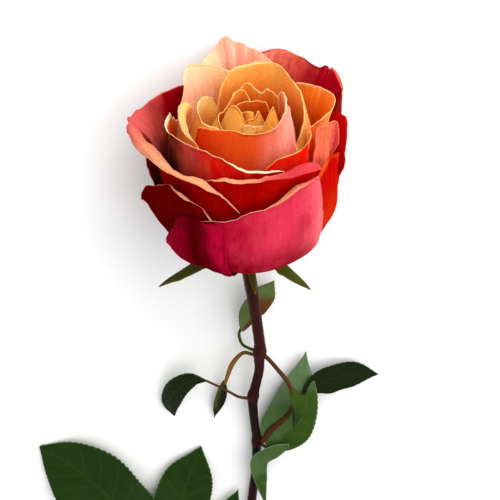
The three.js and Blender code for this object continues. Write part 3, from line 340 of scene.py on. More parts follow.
# Leaf finishes: slot; the upper face's one side, other side and tip; underside, veins and rim; the
# stalk's start and end.
LEAF_FINISHES = {
    "young": ("leaf_light", ("sage", "russet", "sage"), ("olive", "sage", "russet"), ("olive", "fern")),
    "dark": ("leaf_dark", ("moss", "olive", "moss"), ("olive", "olive", "moss"), ("olive", "ochre")),
    "dusky": ("leaf_dark", ("moss", "moss", "moss"), ("sage", "olive", "frond"), ("umber", "umber")),
    "fresh": ("leaf_dark", ("fern", "fern", "leaf"), ("leaf", "olive", "leaf"), ("umber", "umber")),
    # Painted light and shade on the broad leaf: frond on its shaded side, silver sheen towards its tip;
    # silver rims here and on the strip and deep leaves paint a sheen along the edge.
    "silver": ("leaf_light", ("frond", "fern", "silver"), ("leaf", "frond", "silver"), ("umber", "umber")),
    "glossy": ("leaf_dark", ("moss", "moss", "moss"), ("leaf", "leaf", "leaf"), ("umber", "umber")),
    "strip": ("leaf_light", ("frond", "frond", "fern"), ("leaf", "frond", "silver"), ("umber", "umber")),
    "deep": ("leaf_dark", ("leaf", "leaf", "leaf"), ("sage", "fern", "silver"), ("olive", "olive")),
}

# In mm: the lip of a rim row that names none, the shortest lip, and the least half thickness of a blade.
PLAIN_LIP = 0.5
LEAST_LIP = 0.4
LEAST_HALF = 0.01
# In mm: how far in from its rim the edge of a petal, a leaflet and a sepal is rounded.
PETAL_EDGE = 0.45
LEAF_EDGE = 0.5
SEPAL_EDGE = 0.4
# Height in mm at which the middle surface of the lowest petal lies flat.
FLAT_SPOT = 0.3
# How far a layer leans in above its widest: mm for each square mm of rise.
LEAN = 0.0026
# Even steps across a petal, the share of its width that is closer at each side, its rows up, closer at the
# fold and the lip's end, and the rows that tell its outer side.
PETAL_COLUMNS = 58
SIDE_SHARE = 0.02
PETAL_ROWS = np.concatenate([np.linspace(0, 0.88, 30), np.linspace(0.9, 1, 7), np.linspace(1.08, 1.88, 10),
                             [1.94, 1.975, 1.993, 2]])
MIDDLE_ROWS = slice(12, 24)
# Waves of a petal as (lengths, sizes) in mm: its outline, the long ones, the ribs and the rim's wrinkles.
RIM_OUTLINE = ((17, 9.1, 5.3, 3.1), (0.3, 0.16, 0.08, 0.05))
LONG_WAVES = ((41, 23, 13), (1.0, 0.65, 0.2))
RIBS = ((5.9, 3.7, 2.3), (0.06, 0.045, 0.025))
RIM_WRINKLES = ((4.3, 2.9), (0.05, 0.03))
# Leaflets: columns from edge to edge, rows for each tooth, share of a tooth before its tip, side veins in
# pairs and how far forward they run.
LEAFLET_COLUMNS = np.concatenate([[-1, -0.985, -0.95], np.linspace(-0.9, 0.9, 25), [0.95, 0.985, 1]])
ROWS_A_TOOTH = 8
TOOTH_TIP = 0.8
VEIN_PAIRS = 8
VEIN_SLANT = 1.7
# Sides and rings of the stem, a prickle and a leaf stalk, and rows and columns of a sepal.
STEM_GRID = (32, 320)
PRICKLE_GRID = (12, 14)
STALK_GRID = (12, 40)
SEPAL_GRID = (90, 19)
# How much more light the thin heart petals let through, and the point in metres the lights are turned to.
HEART_GLOW = 2.4
LIT_POINT = (0, -0.02, 0.035)
# Distance in mm that keeps rim colours off the hip.
FAR_FROM_RIM = 9.0


def linear(red, green, blue):
    """Scene-linear colour from display values of 0 to 255: ((c/255 + 0.055) / 1.055) to the power 2.4, or
    c/255/12.92 where c is 10 or less."""
    return tuple(((c / 255 + 0.055) / 1.055) ** 2.4 if c > 10 else c / 255 / 12.92
                 for c in (red, green, blue))


# Pigments by name: display red, green, blue, and where each is seen.
PIGMENTS = {
    # Sloe is painted shade: the near black of the deepest folds and of faces turned away from the light.
    "sloe": (34, 0, 2, "Deepest folds"),
    # Maroon and claret are partly painted shade on the left side of the bloom, away from the key light.
    "maroon": (66, 0, 2, "Darkest reds on the left"),
    "claret": (104, 2, 2, "Lower left petal's face"),
    "wine": (86, 0, 5, "Shaded feet of the outer petals"),
    "garnet": (122, 0, 10, "Dark reds of the outer petals"),
    "crimson": (150, 2, 30, "Lower and back petals"),
    # Magenta also paints the highlights on the lower petal's folds.
    "magenta": (176, 10, 48, "Front petal's left side and the lower petals"),
    "ruby": (160, 2, 3, "Deep red faces"),
    "cherry": (184, 8, 4, "Right-hand petals in the light"),
    "fuchsia": (206, 48, 74, "Front petal's middle"),
    "scarlet": (212, 14, 5, "Bright reds round the heart"),
    "ember": (180, 58, 20, "Inner front petal's middle"),
    "vermilion": (198, 50, 6, "Orange reds at the feet of inner petals"),
    "rose": (248, 102, 110, "Front petal's lit right side"),
    "mauve": (190, 58, 66, "Pinched ends and rims of rolled lips"),
    "rosewood": (210, 92, 84, "Weathered pink faces"),
    "coral": (226, 98, 66, "Salmon red blends"),
    "salmon": (238, 132, 108, "Salmon faces of rolled and inner petals"),
    "dusk": (196, 88, 66, "Faded rims of the outer petals"),
    "copper": (160, 76, 38, "Thin brown rims"),
    "shell": (240, 186, 154, "Palest faces of the upper left petal"),
    "pink": (240, 140, 126, "Inner front petal's right side"),
    "blush": (230, 160, 134, "Pale pink rims and faces"),
    "veil": (214, 152, 130, "Mauve streak of the back petal"),
    "tan": (214, 146, 104, "Rolled lips and rims"),
    "sand": (222, 168, 104, "Start of the left inner lip"),
    "apricot": (226, 156, 100, "End of the left inner lip"),
    "peach": (236, 182, 130, "Pale rims and back petals"),
    "cream": (236, 204, 164, "Palest petal faces"),
    "straw": (242, 194, 122, "Rims and faces in the heart"),
    "amber": (240, 158, 74, "Light orange faces"),
    "honey": (238, 140, 56, "Inner faces of the heart"),
    "orange": (232, 118, 36, "Heart petals"),
    "brick": (176, 58, 46, "Left petal's outer face"),
    "flame": (178, 48, 8, "Orange cast of the right-hand petal"),
    "marigold": (216, 88, 16, "Orange edge of the right-hand petal"),
    "poppy": (222, 74, 44, "Right rolled petal, shaded side"),
    # Rust is partly painted shade where it sits deep in the heart.
    "rust": (214, 92, 18, "Depths of the heart"),
    "olive": (66, 70, 10, "Sepals and young growth"),
    "moss": (16, 25, 1, "Dark leaves and the sepals' shade"),
    "leaf": (24, 50, 4, "Upper faces of the low leaf, and dark undersides"),
    "frond": (66, 94, 48, "Broad leaf's shaded side and veins"),
    "fern": (50, 76, 14, "Folded leaf and veins"),
    "sage": (98, 120, 62, "Young leaf and leaf undersides"),
    # Silver is painted sheen on leaf rims and on the broad leaf's upper part; on the floor it is a plain
    # tint.
    "silver": (98, 124, 88, "Pale grey-green tips and rims"),
    "ochre": (132, 88, 30, "Pores, sepal rims and a leaf stalk"),
    "umber": (74, 42, 18, "Brown leaf stalks"),
    "russet": (104, 52, 18, "Young leaf's brown side and rim"),
    "soot": (18, 5, 3, "Lower stem"),
    "bark": (42, 9, 5, "Stem"),
    "bloomed": (74, 24, 24, "Stem's waxy side and swellings"),
    "pith": (206, 198, 150, "Cut end of the stem"),
    "paper": (246, 246, 246, "Studio floor"),
}


def dimension(name, words, value, unit="LENGTH", **limits):
    """A number property with its name, description, default and unit."""
    return bpy.props.FloatProperty(name=name, description=words, default=value, unit=unit, **limits)


class RosePigments(bpy.types.PropertyGroup):
    """Colours of the rose, by pigment."""
    __annotations__ = {
        key: bpy.props.FloatVectorProperty(name=key.capitalize(), description=words, subtype="COLOR",
                                           size=3, min=0, max=1, default=linear(red, green, blue))
        for key, (red, green, blue, words) in PIGMENTS.items()
    }


class RoseSizes(bpy.types.PropertyGroup):
    """Sizes of the bloom, stem and leaves."""
    belly_radius: dimension("Belly radius", "Radius of the closed bloom at its widest", 34.5 * MM)
    belly_depth: dimension("Belly depth", "From the widest height down to the bottom", 33 * MM)
    belly_height: dimension("Belly height", "Widest height above the bloom's base", 31 * MM)
    root_radius: dimension("Root radius", "Where every petal starts, from the axis", 4.2 * MM)
    base_y: dimension("Base Y", "Place of the bloom's base along the stem", -32.7 * MM)
    base_z: dimension("Base Z", "Height of the bloom's base above the surface", 26.1 * MM)
    axis_tilt: dimension("Axis tilt", "Rise of the bloom's axis from the surface", math.radians(15),
                         "ROTATION")
    petal_thickness: dimension("Petal thickness", "Thickness of a petal below its rim", 0.42 * MM,
                               min=0.1 * MM)
    leaf_thickness: dimension("Leaf thickness", "Thickness of a leaflet beside its midrib", 0.45 * MM,
                              min=0.1 * MM)
    tooth_depth: dimension("Tooth depth", "Depth of a leaf tooth as a share of the half width", 0.034,
                           "NONE", min=0, max=0.3)


class RoseStage(bpy.types.PropertyGroup):
    """Floor, lights and camera."""
    camera_height: dimension("Camera height", "Height of the camera above the floor", 308.7 * MM)
    camera_y: dimension("Camera Y", "Place of the camera along the stem's direction", 121.2 * MM)
    camera_x: dimension("Camera X", "Place of the camera across the stem", 1.1 * MM)
    camera_pitch: dimension("Camera pitch", "Angle of the view below the horizon", math.radians(60.943),
                            "ROTATION")
    focal_share: dimension("Focal length", "Focal length as a share of the frame's width", 1.65, "NONE")
    floor_size: dimension("Floor size", "Side of the square floor", 12.0)
    key_power: dimension("Key light", "Power of the soft light from the right", 6.0, "POWER")
    top_power: dimension("Top light", "Power of the soft light from beyond the bloom", 4.0, "POWER")
    sky: dimension("Surrounding light", "Strength of the even light from all round", 0.7, "NONE")


def pigment(name):
    """Linear colour of a pigment, with alpha."""
    return (*getattr(bpy.context.scene.rose_pigments, name), 1)


# Shapes.


def curve_through(rows, u):
    """Uniform Catmull-Rom through the rows: between b and c it is half of 2b + (c - a)f + (2a - 5b + 4c -
    d)f^2 + (3b - a - 3c + d)f^3, f from 0 to 1, with each end mirrored to give a and d."""
    p = np.asarray(rows, float)
    p = np.vstack([2 * p[0] - p[1], p, 2 * p[-1] - p[-2]])
    x = np.clip(u, 0, 1) * (len(p) - 3)
    i = np.minimum(x.astype(int), len(p) - 4)
    f = (x - i)[..., None]
    a, b, c, d = p[i], p[i + 1], p[i + 2], p[i + 3]
    return 0.5 * (2 * b + (c - a) * f + (2 * a - 5 * b + 4 * c - d) * f**2 + (3 * b - a - 3 * c + d) * f**3)


def smooth(x, low, high):
    """Smoothstep: 3s^2 - 2s^3 of s, the share of the way from low to high."""
    s = np.clip((x - low) / (high - low), 0, 1)
    return s * s * (3 - 2 * s)


def bell(x, centre, width):
    """Bell curve: e to the power of minus the square of the way from the centre over the width."""
    return np.exp(-(((x - centre) / width) ** 2))


def normalized(v):
    """Vectors divided by their lengths."""
    return v / np.maximum(np.linalg.norm(v, axis=-1, keepdims=True), 1e-12)


def bloom_frame(sizes):
    """The bloom's base point and its right, front and axis directions, in millimetres; the axis rises by
    the tilt."""
    c, s = math.cos(sizes.axis_tilt), math.sin(sizes.axis_tilt)
    base = np.array([0, sizes.base_y / MM, sizes.base_z / MM])
    return base, np.array([1.0, 0, 0]), np.array([0, -s, c]), np.array([0, c, s])


def bloom_point(sizes, azimuth, radius, height):
    """Base + radius sin(azimuth) right + radius cos(azimuth) front + height axis."""
    base, right, front, axis = bloom_frame(sizes)
    out = np.sin(azimuth)[..., None] * right + np.cos(azimuth)[..., None] * front
    return base + radius[..., None] * out + height[..., None] * axis


def layer_ellipse(sizes, inset):
    """Half width a and depth b of a layer's quarter ellipse, the angle at which it leaves the root
    radius, and the angle from there to its widest."""
    a = sizes.belly_radius / MM - inset
    b = sizes.belly_depth / MM - inset
    start = math.asin(min(sizes.root_radius / MM / a, 0.95))
    return a, b, start, math.pi / 2 - start


def layer_profile(sizes, inset, tau):
    """Radius and height of a layer. Below the widest height, a quarter ellipse: a sin(angle), belly
    height - b cos(angle); above it, straight up and leaning in by LEAN times the square of the rise. tau
    is 1 at the widest."""
    a, b, start, span = layer_ellipse(sizes, inset)
    up = np.maximum(tau - 1, 0) * b * span
    angle = start + span * np.minimum(tau, 1)
    return a * np.sin(angle) - LEAN * up**2, sizes.belly_height / MM - b * np.cos(angle) + up


def layer_share(sizes, inset, height):
    """The tau at which a layer reaches a height."""
    _, b, start, span = layer_ellipse(sizes, inset)
    rise = height - sizes.belly_height / MM
    low = (np.arccos(np.clip(-rise / b, -1, 1)) - start) / span
    return np.where(rise > 0, 1 + rise / (b * span), low)


def uneven(name, way, lengths, sizes, stretch=0.0, up=0.0):
    """Sum of sines along a way in mm, with the given wave lengths and sizes, each at a phase of the
    petal's own, drawn from its name, that drifts with up by the stretch."""
    dice = np.random.default_rng(sum(ord(c) * (k + 3) for k, c in enumerate(name)))
    phases = dice.uniform(0, 2 * np.pi, len(lengths))
    return sum(size * np.sin(2 * np.pi * way / length + phase + stretch * up * (1 + math.sin(9 * phase)))
               for length, size, phase in zip(lengths, sizes, phases))


def rim_rows(name):
    """Rim of a petal, each row with its lip."""
    return [(*row, PLAIN_LIP)[:4] for row in PETALS[name][5]]


def rim_way(name, u):
    """Millimetres along the rim: the share across times the length of its rows."""
    rows = np.array([(r * math.radians(a), r, h) for a, r, h, _ in rim_rows(name)])
    return u * np.linalg.norm(np.diff(rows, axis=0), axis=1).sum()


def petal_sheet(sizes, name, u, t):
    """Middle surface of a petal, u across and t up: 0 at the root, 1 at the fold, 2 at the end of the
    lip. The radius is the layer's plus the rim's flare times t to the flare power; the azimuth opens from
    the root's share to all of the rim's width by the sine of t; the lip carries on as an arc that turns
    by the curl."""
    inset, root, share, power, curl, _ = PETALS[name]
    azimuth, radius, height, lip = np.moveaxis(curve_through(rim_rows(name), u), -1, 0)
    for place, width, depth in NICKS.get(name, ()):
        nick = bell(u, place, width)
        height = height - depth * nick * smooth(t, 0.7, 1)
        lip = lip * (1 - 0.7 * nick)
    height = height + uneven(name, rim_way(name, u), *RIM_OUTLINE) * smooth(t, 0.6, 1)
    top = layer_share(sizes, inset, height)
    flare = radius - layer_profile(sizes, inset, top)[0]

    def blade(s):
        """Radius and height at a share s of the way from the root to the fold."""
        r, h = layer_profile(sizes, inset, s * top)
        return r + flare * s**power, h

    s = np.minimum(t, 1)
    r, h = blade(s)
    r1, h1 = blade(np.ones_like(s))
    r0, h0 = blade(np.full_like(s, 0.97))
    length = np.hypot(r1 - r0, h1 - h0)
    way_r, way_h = (r1 - r0) / length, (h1 - h0) / length
    lip = np.maximum(lip, LEAST_LIP)
    whole = np.radians(curl) * (0.12 + 0.88 * smooth(lip, 0.5, 2.4))
    turn = whole * np.maximum(t - 1, 0)
    bend = lip / whole
    r = r + bend * (np.sin(turn) * way_r + (1 - np.cos(turn)) * way_h)
    h = h + bend * (np.sin(turn) * way_h - (1 - np.cos(turn)) * way_r)
    opened = np.sin(np.pi / 2 * np.minimum(s / 0.55, 1)) ** 1.2
    angle = root + (azimuth - root) * (share + (1 - share) * opened)
    return bloom_point(sizes, np.radians(angle), r, h)


def petal_relief(name, u, t):
    """Height in mm off the middle surface: long waves across that grow towards the rim, fine ribs that
    run up the petal, short wrinkles at the rim, a hollow just below the rim with a swelling under it, and
    the petal's own folds as bell curves across it."""
    s = np.minimum(t, 1)
    amount = WAVES.get(name, USUAL_WAVE)
    way = rim_way(name, u)
    relief = amount * uneven(name, way, *LONG_WAVES, 0.9, t) * s**3
    relief += uneven(name + "ribs", way, *RIBS, 0.4, t) * smooth(s, 0.2, 0.7)
    relief += uneven(name + "rim", way, *RIM_WRINKLES, 1.5, t) * smooth(t, 0.85, 1.3)
    relief += amount * (0.35 * bell(t, 0.72, 0.14) - 0.6 * bell(t, 0.92, 0.06))
    for foot, head, width, height in FOLDS.get(name, ()):
        fold = bell(u, foot + (head - foot) * s, width * (0.5 + 0.5 * s))
        relief += height * fold * smooth(s, 0.25, 0.75)
    return relief


def sheet_normals(points):
    """Unit normals of a grid: the cross product of its differences up and across."""
    return normalized(np.cross(np.gradient(points, axis=0), np.gradient(points, axis=1)))


def petal_normals(sizes, points):
    """Unit normals of a petal's grid, on the side that faces away from the bloom's axis in its middle
    rows."""
    normals = sheet_normals(points)
    base, _, _, axis = bloom_frame(sizes)
    out = points - base
    out = out - (out @ axis)[..., None] * axis
    return -normals if np.sum(normals[MIDDLE_ROWS] * out[MIDDLE_ROWS]) < 0 else normals


def close_sheet(points, normals, half):
    """Closed shell from a grid: its two faces lie half a thickness to each side along the normals, and
    quads join them round the border. Gives the points and the quads, turned outward; the second half of
    the points is the back face."""
    m, n = points.shape[:2]
    offset = normals * half[..., None]
    shell = np.concatenate([(points + offset).reshape(-1, 3), (points - offset).reshape(-1, 3)])
    index = np.arange(m * n).reshape(m, n)
    a, b, c, d = index[:-1, :-1], index[:-1, 1:], index[1:, 1:], index[1:, :-1]
    front = np.stack([a, d, c, b], -1).reshape(-1, 4)
    back = np.stack([a, b, c, d], -1).reshape(-1, 4) + m * n
    ring = np.concatenate([index[0, :], index[1:, -1], index[-1, -2::-1], index[-2:0:-1, 0]])
    after = np.roll(ring, -1)
    wall = np.stack([ring, after, after + m * n, ring + m * n], -1)
    quads = np.concatenate([front, back, wall])
    facing = np.cross(shell[front[:, 2]] - shell[front[:, 0]], shell[front[:, 3]] - shell[front[:, 1]])
    if np.sum(facing * normals.reshape(-1, 3)[front[:, 0]]) < 0:
        quads = quads[:, ::-1]
    return shell, quads


def distance_to_rim(points, foot_counts=False):
    """Shortest way in mm along the grid's lines from each point to the top or to a side, or to the foot
    too."""
    up = np.linalg.norm(np.diff(points, axis=0), axis=-1)
    across = np.linalg.norm(np.diff(points, axis=1), axis=-1)
    from_foot = np.vstack([np.zeros((1, points.shape[1])), np.cumsum(up, axis=0)])
    side = np.hstack([np.zeros((points.shape[0], 1)), np.cumsum(across, axis=1)])
    ways = [from_foot[-1:] - from_foot, side, side[:, -1:] - side]
    if foot_counts:
        ways.append(from_foot)
    return np.minimum.reduce(ways)


def round_edge(distance, reach):
    """Quarter circle: square root of s(2 - s), s the distance over the reach, at most 1."""
    s = np.clip(distance / reach, 0, 1)
    return np.sqrt(s * (2 - s))


def two_faces(**grids):
    """Values of a closed sheet's points: each grid once for the front face and once for the back."""
    return {key: np.tile(grid.ravel(), 2) for key, grid in grids.items()}


def front_and_back(points):
    """0 for every point of a closed sheet's front face and 1 for those of its back."""
    return np.repeat([0.0, 1.0], points[..., 0].size)


def put_mesh(name, parts, materials):
    """One smooth mesh object at the origin. Each part is (points in mm, quads, triangles, material index,
    values), values being a dict of one number for each point that becomes a named attribute of the
    mesh."""
    mesh = bpy.data.meshes.new(name)
    points, loops, sizes, kinds, values, start = [], [], [], [], {}, 0
    count = sum(len(part[0]) for part in parts)
    for part_points, quads, triangles, kind, part_values in parts:
        points.append(part_points * MM)
        for faces, corners in ((quads, 4), (triangles, 3)):
            if faces is not None and len(faces):
                loops.append((faces + start).ravel())
                sizes.append(np.full(len(faces), corners))
                kinds.append(np.full(len(faces), kind))
        for key, numbers in part_values.items():
            values.setdefault(key, np.zeros(count))[start:start + len(part_points)] = numbers
        start += len(part_points)
    points, loops, sizes = np.concatenate(points), np.concatenate(loops), np.concatenate(sizes)
    mesh.vertices.add(len(points))
    mesh.vertices.foreach_set("co", points.ravel())
    mesh.loops.add(len(loops))
    mesh.loops.foreach_set("vertex_index", loops)
    mesh.polygons.add(len(sizes))
    mesh.polygons.foreach_set("loop_start", np.concatenate([[0], np.cumsum(sizes)[:-1]]))
    mesh.polygons.foreach_set("loop_total", sizes)
    mesh.polygons.foreach_set("material_index", np.concatenate(kinds))
    mesh.polygons.foreach_set("use_smooth", np.ones(len(sizes), bool))
    for key, numbers in values.items():
        mesh.attributes.new(key, "FLOAT", "POINT").data.foreach_set("value", numbers.astype(np.float32))
    flat = mesh.uv_layers.new(name="Surface")
    uv = np.stack([values["across"][loops], values["along"][loops]], -1)
    flat.data.foreach_set("uv", uv.ravel().astype(np.float32))
    mesh.update(calc_edges=True)
    if mesh.validate():
        raise RuntimeError(f"{name} has faulty faces")
    for material in materials:
        mesh.materials.append(material)
    piece = bpy.data.objects.new(name, mesh)
    bpy.context.scene.collection.objects.link(piece)
    return piece


def seat(piece, node, slot):
    """The piece rides on the rose and stands for its CAD node, whose part it hides. Its slot is not used.
    """
    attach(piece, "root")
    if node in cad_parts:
        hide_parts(node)


def graded(count, edge):
    """Numbers from 0 to 1 that close up at both ends: the even steps, and a few within the edge share."""
    inner = np.linspace(edge, 1 - edge, count)
    return np.concatenate([[0, 0.12 * edge, 0.4 * edge], inner, [1 - 0.4 * edge, 1 - 0.12 * edge, 1]])


def petal_piece(name):
    """Builds one petal as a closed shell with its finish. Where it would sink into the surface it lies
    flat, each layer a little above the one below."""
    sizes = bpy.context.scene.rose_sizes
    u, t = np.meshgrid(graded(PETAL_COLUMNS, SIDE_SHARE), PETAL_ROWS)
    points = petal_sheet(sizes, name, u, t)
    points = points + petal_normals(sizes, points) * petal_relief(name, u, t)[..., None]
    floor = FLAT_SPOT + PETALS[name][0] - PETALS["back_y"][0]
    pressed = points[..., 2] < floor
    points[..., 2] = np.maximum(points[..., 2], floor)
    normals = petal_normals(sizes, points)
    normals[pressed] = (0, 0, -1)
    rim = distance_to_rim(points)
    thinned = sizes.petal_thickness / MM / 2 * (1 - 0.4 * smooth(t, 0.5, 1))
    half = thinned * round_edge(rim, PETAL_EDGE) + LEAST_HALF
    shell, quads = close_sheet(points, normals, half)
    values = {**two_faces(across=u, along=t / 2, rim=rim), "inside": front_and_back(points)}
    piece = put_mesh(name + "_petal", [(shell, quads, None, 0, values)], [petal_material(name)])
    seat(piece, name, "petal_" + PAINT.get(name, HEART_PAINT)[0])


def ring_faces(rings, sides):
    """Quads between rings of points, and triangles that close the first and the last ring with the two
    points that follow them."""
    index = np.arange(rings * sides).reshape(rings, sides)
    beside = np.roll(index, -1, axis=1)
    quads = np.stack([index[:-1], beside[:-1], beside[1:], index[1:]], -1).reshape(-1, 4)
    ends = [np.stack([np.full(sides, index.size), beside[0], index[0]], -1),
            np.stack([np.full(sides, index.size + 1), index[-1], beside[-1]], -1)]
    return quads, np.concatenate(ends)


def tube_shell(rows, sides, rings, swell=None):
    """Tube round a curve of (x, y, z, radius): at each step a ring in the plane across the curve, its
    first direction carried along without twist. swell(around, along) multiplies the radius. Both ends are
    closed by a middle point. Gives points, quads, triangles, and the around and along values."""
    along = np.linspace(0, 1, rings)
    line = curve_through(rows, along)
    centre = line[:, :3]
    way = normalized(np.gradient(centre, axis=0))
    side = np.zeros_like(centre)
    side[0] = normalized(np.array([0, 0, 1.0]) - way[0, 2] * way[0])
    for i in range(1, rings):
        side[i] = normalized(side[i - 1] - (side[i - 1] @ way[i]) * way[i])
    other = np.cross(way, side)
    around = np.linspace(0, 1, sides, endpoint=False)
    turn = 2 * np.pi * around[None, :, None]
    size = line[:, 3:] * (1 if swell is None else swell(around[None, :], along[:, None])) * np.ones(sides)
    ring = np.cos(turn) * side[:, None, :] + np.sin(turn) * other[:, None, :]
    points = centre[:, None, :] + size[..., None] * ring
    flat = np.concatenate([points.reshape(-1, 3), centre[:1], centre[-1:]])
    around_all = np.concatenate([np.tile(np.abs(around - 0.5) * 2, rings), [0.5, 0.5]])
    along_all = np.concatenate([np.repeat(along, sides), [0, 1]])
    return flat, *ring_faces(rings, sides), around_all, along_all


def leaflet_shell(sizes, rib, half_width, facing, outline, teeth):
    """Leaflet about its rib, s along and v from -1 to 1 across. The half width is sin(pi
    s^skew)^fullness, drawn in further at the tip; the margin steps out slowly and back quickly once a
    tooth; the blade rises from the midrib to the edge and is puffed up between side veins that run
    forward."""
    skew, fullness = outline
    along = np.concatenate([np.linspace(0, 1, teeth * ROWS_A_TOOTH), [1.0]])
    line = curve_through(rib, along)
    ahead, behind = (curve_through(rib, along + step)[:, :3] for step in (0.05, -0.05))
    way = normalized(ahead - behind)
    side = normalized(np.cross(way, normalized(np.array(facing, float))))
    lift = np.cross(side, way)[:, None, :]
    s, v = np.meshgrid(along, LEAFLET_COLUMNS, indexing="ij")
    out = np.abs(v)
    width = half_width * np.sin(np.pi * (0.012 + 0.985 * s) ** skew) ** (fullness + 0.4 * smooth(s, 0.7, 1))
    step = (s * teeth) % 1
    tooth = np.where(step < TOOTH_TIP, step / TOOTH_TIP, (1 - step) / (1 - TOOTH_TIP))
    depth = sizes.tooth_depth * (1.5 - 0.5 * width / half_width)
    margin = 1 - depth * (1 - tooth) * smooth(out, 0.8, 1)
    vein = (s * VEIN_PAIRS - out * VEIN_SLANT) % 1
    puff = 0.02 * half_width * np.sin(np.pi * vein) ** 0.7 * np.sin(np.pi * out)
    wave = 0.05 * width * np.sin(2 * np.pi * (2.6 * s + 0.2 * np.sign(v))) * v**2
    height = line[:, 3:] * width * out * (0.4 + 0.6 * out) + puff + wave
    points = (line[:, None, :3] + side[:, None, :] * (width * v * margin)[..., None]
              + lift * height[..., None])
    normals = sheet_normals(points)
    normals = normals * np.sign(np.sum(normals * lift, -1, keepdims=True) + 1e-9)
    rim = distance_to_rim(points, foot_counts=True)
    midrib = bell(width * out, 0, 0.05 * half_width + 0.25) * (1 - s)
    half = sizes.leaf_thickness / MM / 2 * (1 + 1.6 * midrib) * round_edge(rim, LEAF_EDGE) + LEAST_HALF
    values = {**two_faces(across=v / 2 + 0.5, along=s, rim=rim, size=np.full_like(s, half_width)),
              "inside": front_and_back(points)}
    return *close_sheet(points, normals, half), values


# Finishes.


class Wire:
    """Output of a shader node. Adding, subtracting and multiplying wires and numbers makes Math nodes."""

    def __init__(self, socket):
        self.socket = socket
        self.tree = socket.id_data

    def __add__(self, other):
        return calculate("ADD", self, other)

    def __sub__(self, other):
        return calculate("SUBTRACT", self, other)

    def __mul__(self, other):
        return calculate("MULTIPLY", self, other)


def plug(socket, value):
    """Links a wire to the socket, or sets a plain number or colour on it."""
    if isinstance(value, Wire):
        value.tree.links.new(value.socket, socket)
    else:
        socket.default_value = value


def calculate(operation, first, second=0.0):
    """Wire from a Math node."""
    node = first.tree.nodes.new("ShaderNodeMath")
    node.operation = operation
    plug(node.inputs[0], first)
    plug(node.inputs[1], second)
    return Wire(node.outputs[0])


def ease(value, low, high, start=0.0, end=1.0):
    """Wire from a Map Range node with a smooth step."""
    node = value.tree.nodes.new("ShaderNodeMapRange")
    node.interpolation_type = "SMOOTHSTEP"
    settings = {"Value": value, "From Min": low, "From Max": high, "To Min": start, "To Max": end}
    for key, setting in settings.items():
        plug(node.inputs[key], setting)
    return Wire(node.outputs["Result"])


def blend(share, first, second, kind="MIX"):
    """Colour wire from a Mix node."""
    tree = next(value.tree for value in (share, first) if isinstance(value, Wire))
    node = tree.nodes.new("ShaderNodeMix")
    node.data_type = "RGBA"
    node.blend_type = kind
    for key, value in ((0, share), (6, first), (7, second)):
        plug(node.inputs[key], value)
    return Wire(node.outputs[2])


def vector(x, y, z=0.0):
    """Wire from a Combine XYZ node."""
    node = x.tree.nodes.new("ShaderNodeCombineXYZ")
    for socket, value in zip(node.inputs, (x, y, z)):
        plug(socket, value)
    return Wire(node.outputs[0])


def noise(place, scale=1.0, detail=2.0, roughness=0.5):
    """Factor wire from a Noise Texture."""
    node = place.tree.nodes.new("ShaderNodeTexNoise")
    for key, setting in {"Vector": place, "Scale": scale, "Detail": detail, "Roughness": roughness}.items():
        plug(node.inputs[key], setting)
    return Wire(node.outputs["Fac"])


def drawn_out(given, across, along, scale=1.0, detail=2.0, roughness=0.5):
    """Noise that runs a number of times across a piece and fewer times along it."""
    place = vector(given["Across"] * across, given["Along"] * along, given["Seed"])
    return noise(place, scale, detail, roughness)


def wires(sockets):
    """Wires by the names of their sockets."""
    return {socket.name: Wire(socket) for socket in sockets if socket.name}


def make_group(name, inputs, outputs, build):
    """Shader group with its sockets; build takes the inputs as wires and gives the outputs by name."""
    tree = bpy.data.node_groups.new(name, "ShaderNodeTree")
    for sockets, way in ((inputs, "INPUT"), (outputs, "OUTPUT")):
        for label, kind in sockets.items():
            tree.interface.new_socket(name=label, in_out=way, socket_type="NodeSocket" + kind)
    results = build(wires(tree.nodes.new("NodeGroupInput").outputs))
    sockets = tree.nodes.new("NodeGroupOutput").inputs
    for label, value in results.items():
        plug(sockets[label], value)
    return tree


def petal_tint(given):
    """Colour of a petal. Each face goes from its foot or throat up to a blend of start, middle and end
    colours across; both ways are feathered by noise drawn out along the petal. The dark feet and throats
    are partly painted shade, where little light reaches deep in the bloom. The rim fades in over its
    width, and the lip has its own start and end colours."""
    feather = drawn_out(given, 34.0, 1.8, 1.0, 3.0, 0.6) - 0.5
    drift = drawn_out(given, 5.0, 3.5, 1.3) - 0.5
    across = given["Across"] + drift * 0.22
    along = given["Along"] + (feather * 0.28 + drift * 0.3)
    place = given["Place"]
    first = ease(across, place - given["Reach"], place)
    second = ease(across, place, place + given["Reach"])
    outer, inner = (
        blend(second, blend(first, given[face + "Start"], given[face + "Middle"]), given[face + "End"])
        for face in ("", "Inside "))
    # Painted shade, in part: towards the root each face turns to its foot or throat colour.
    outer = blend(ease(along, 0.3, 0.9), given["Foot"], outer)
    inner = blend(ease(along, 0.5, 1.0), given["Throat"], inner)
    wide = given["Edge Width"] * (given["Inside"] + 1.0)
    rim = ease(given["Edge"] + feather * 0.8, 0.0, wide, 0.75, 0.0)
    body = blend(rim, blend(given["Inside"], outer, inner), given["Rim"])
    lip = given["Inside"] * ease(along, 0.96, 1.2)
    rolled = blend(ease(across, 0.38, 0.72), given["Lip Start"], given["Lip End"])
    return {"Colour": blend(lip, body, rolled)}


def petal_veins(given):
    """Fine streaks that spread from the foot: noise stretched along the petal, in a fine and a broad
    size, and looser streaks to mottle it."""
    fine = drawn_out(given, given["Count"], 5.0, 1.0, 3.0, 0.6)
    broad = drawn_out(given, given["Count"] * 0.22, 2.0)
    loose = drawn_out(given, given["Count"] * 0.1, 4.0, 1.0, 4.0, 0.65)
    return {"Vein": ease(fine * 0.65 + broad * 0.35, 0.4, 0.66), "Height": fine * 0.5 + broad,
            "Streak": ease(loose, 0.42, 0.64)}


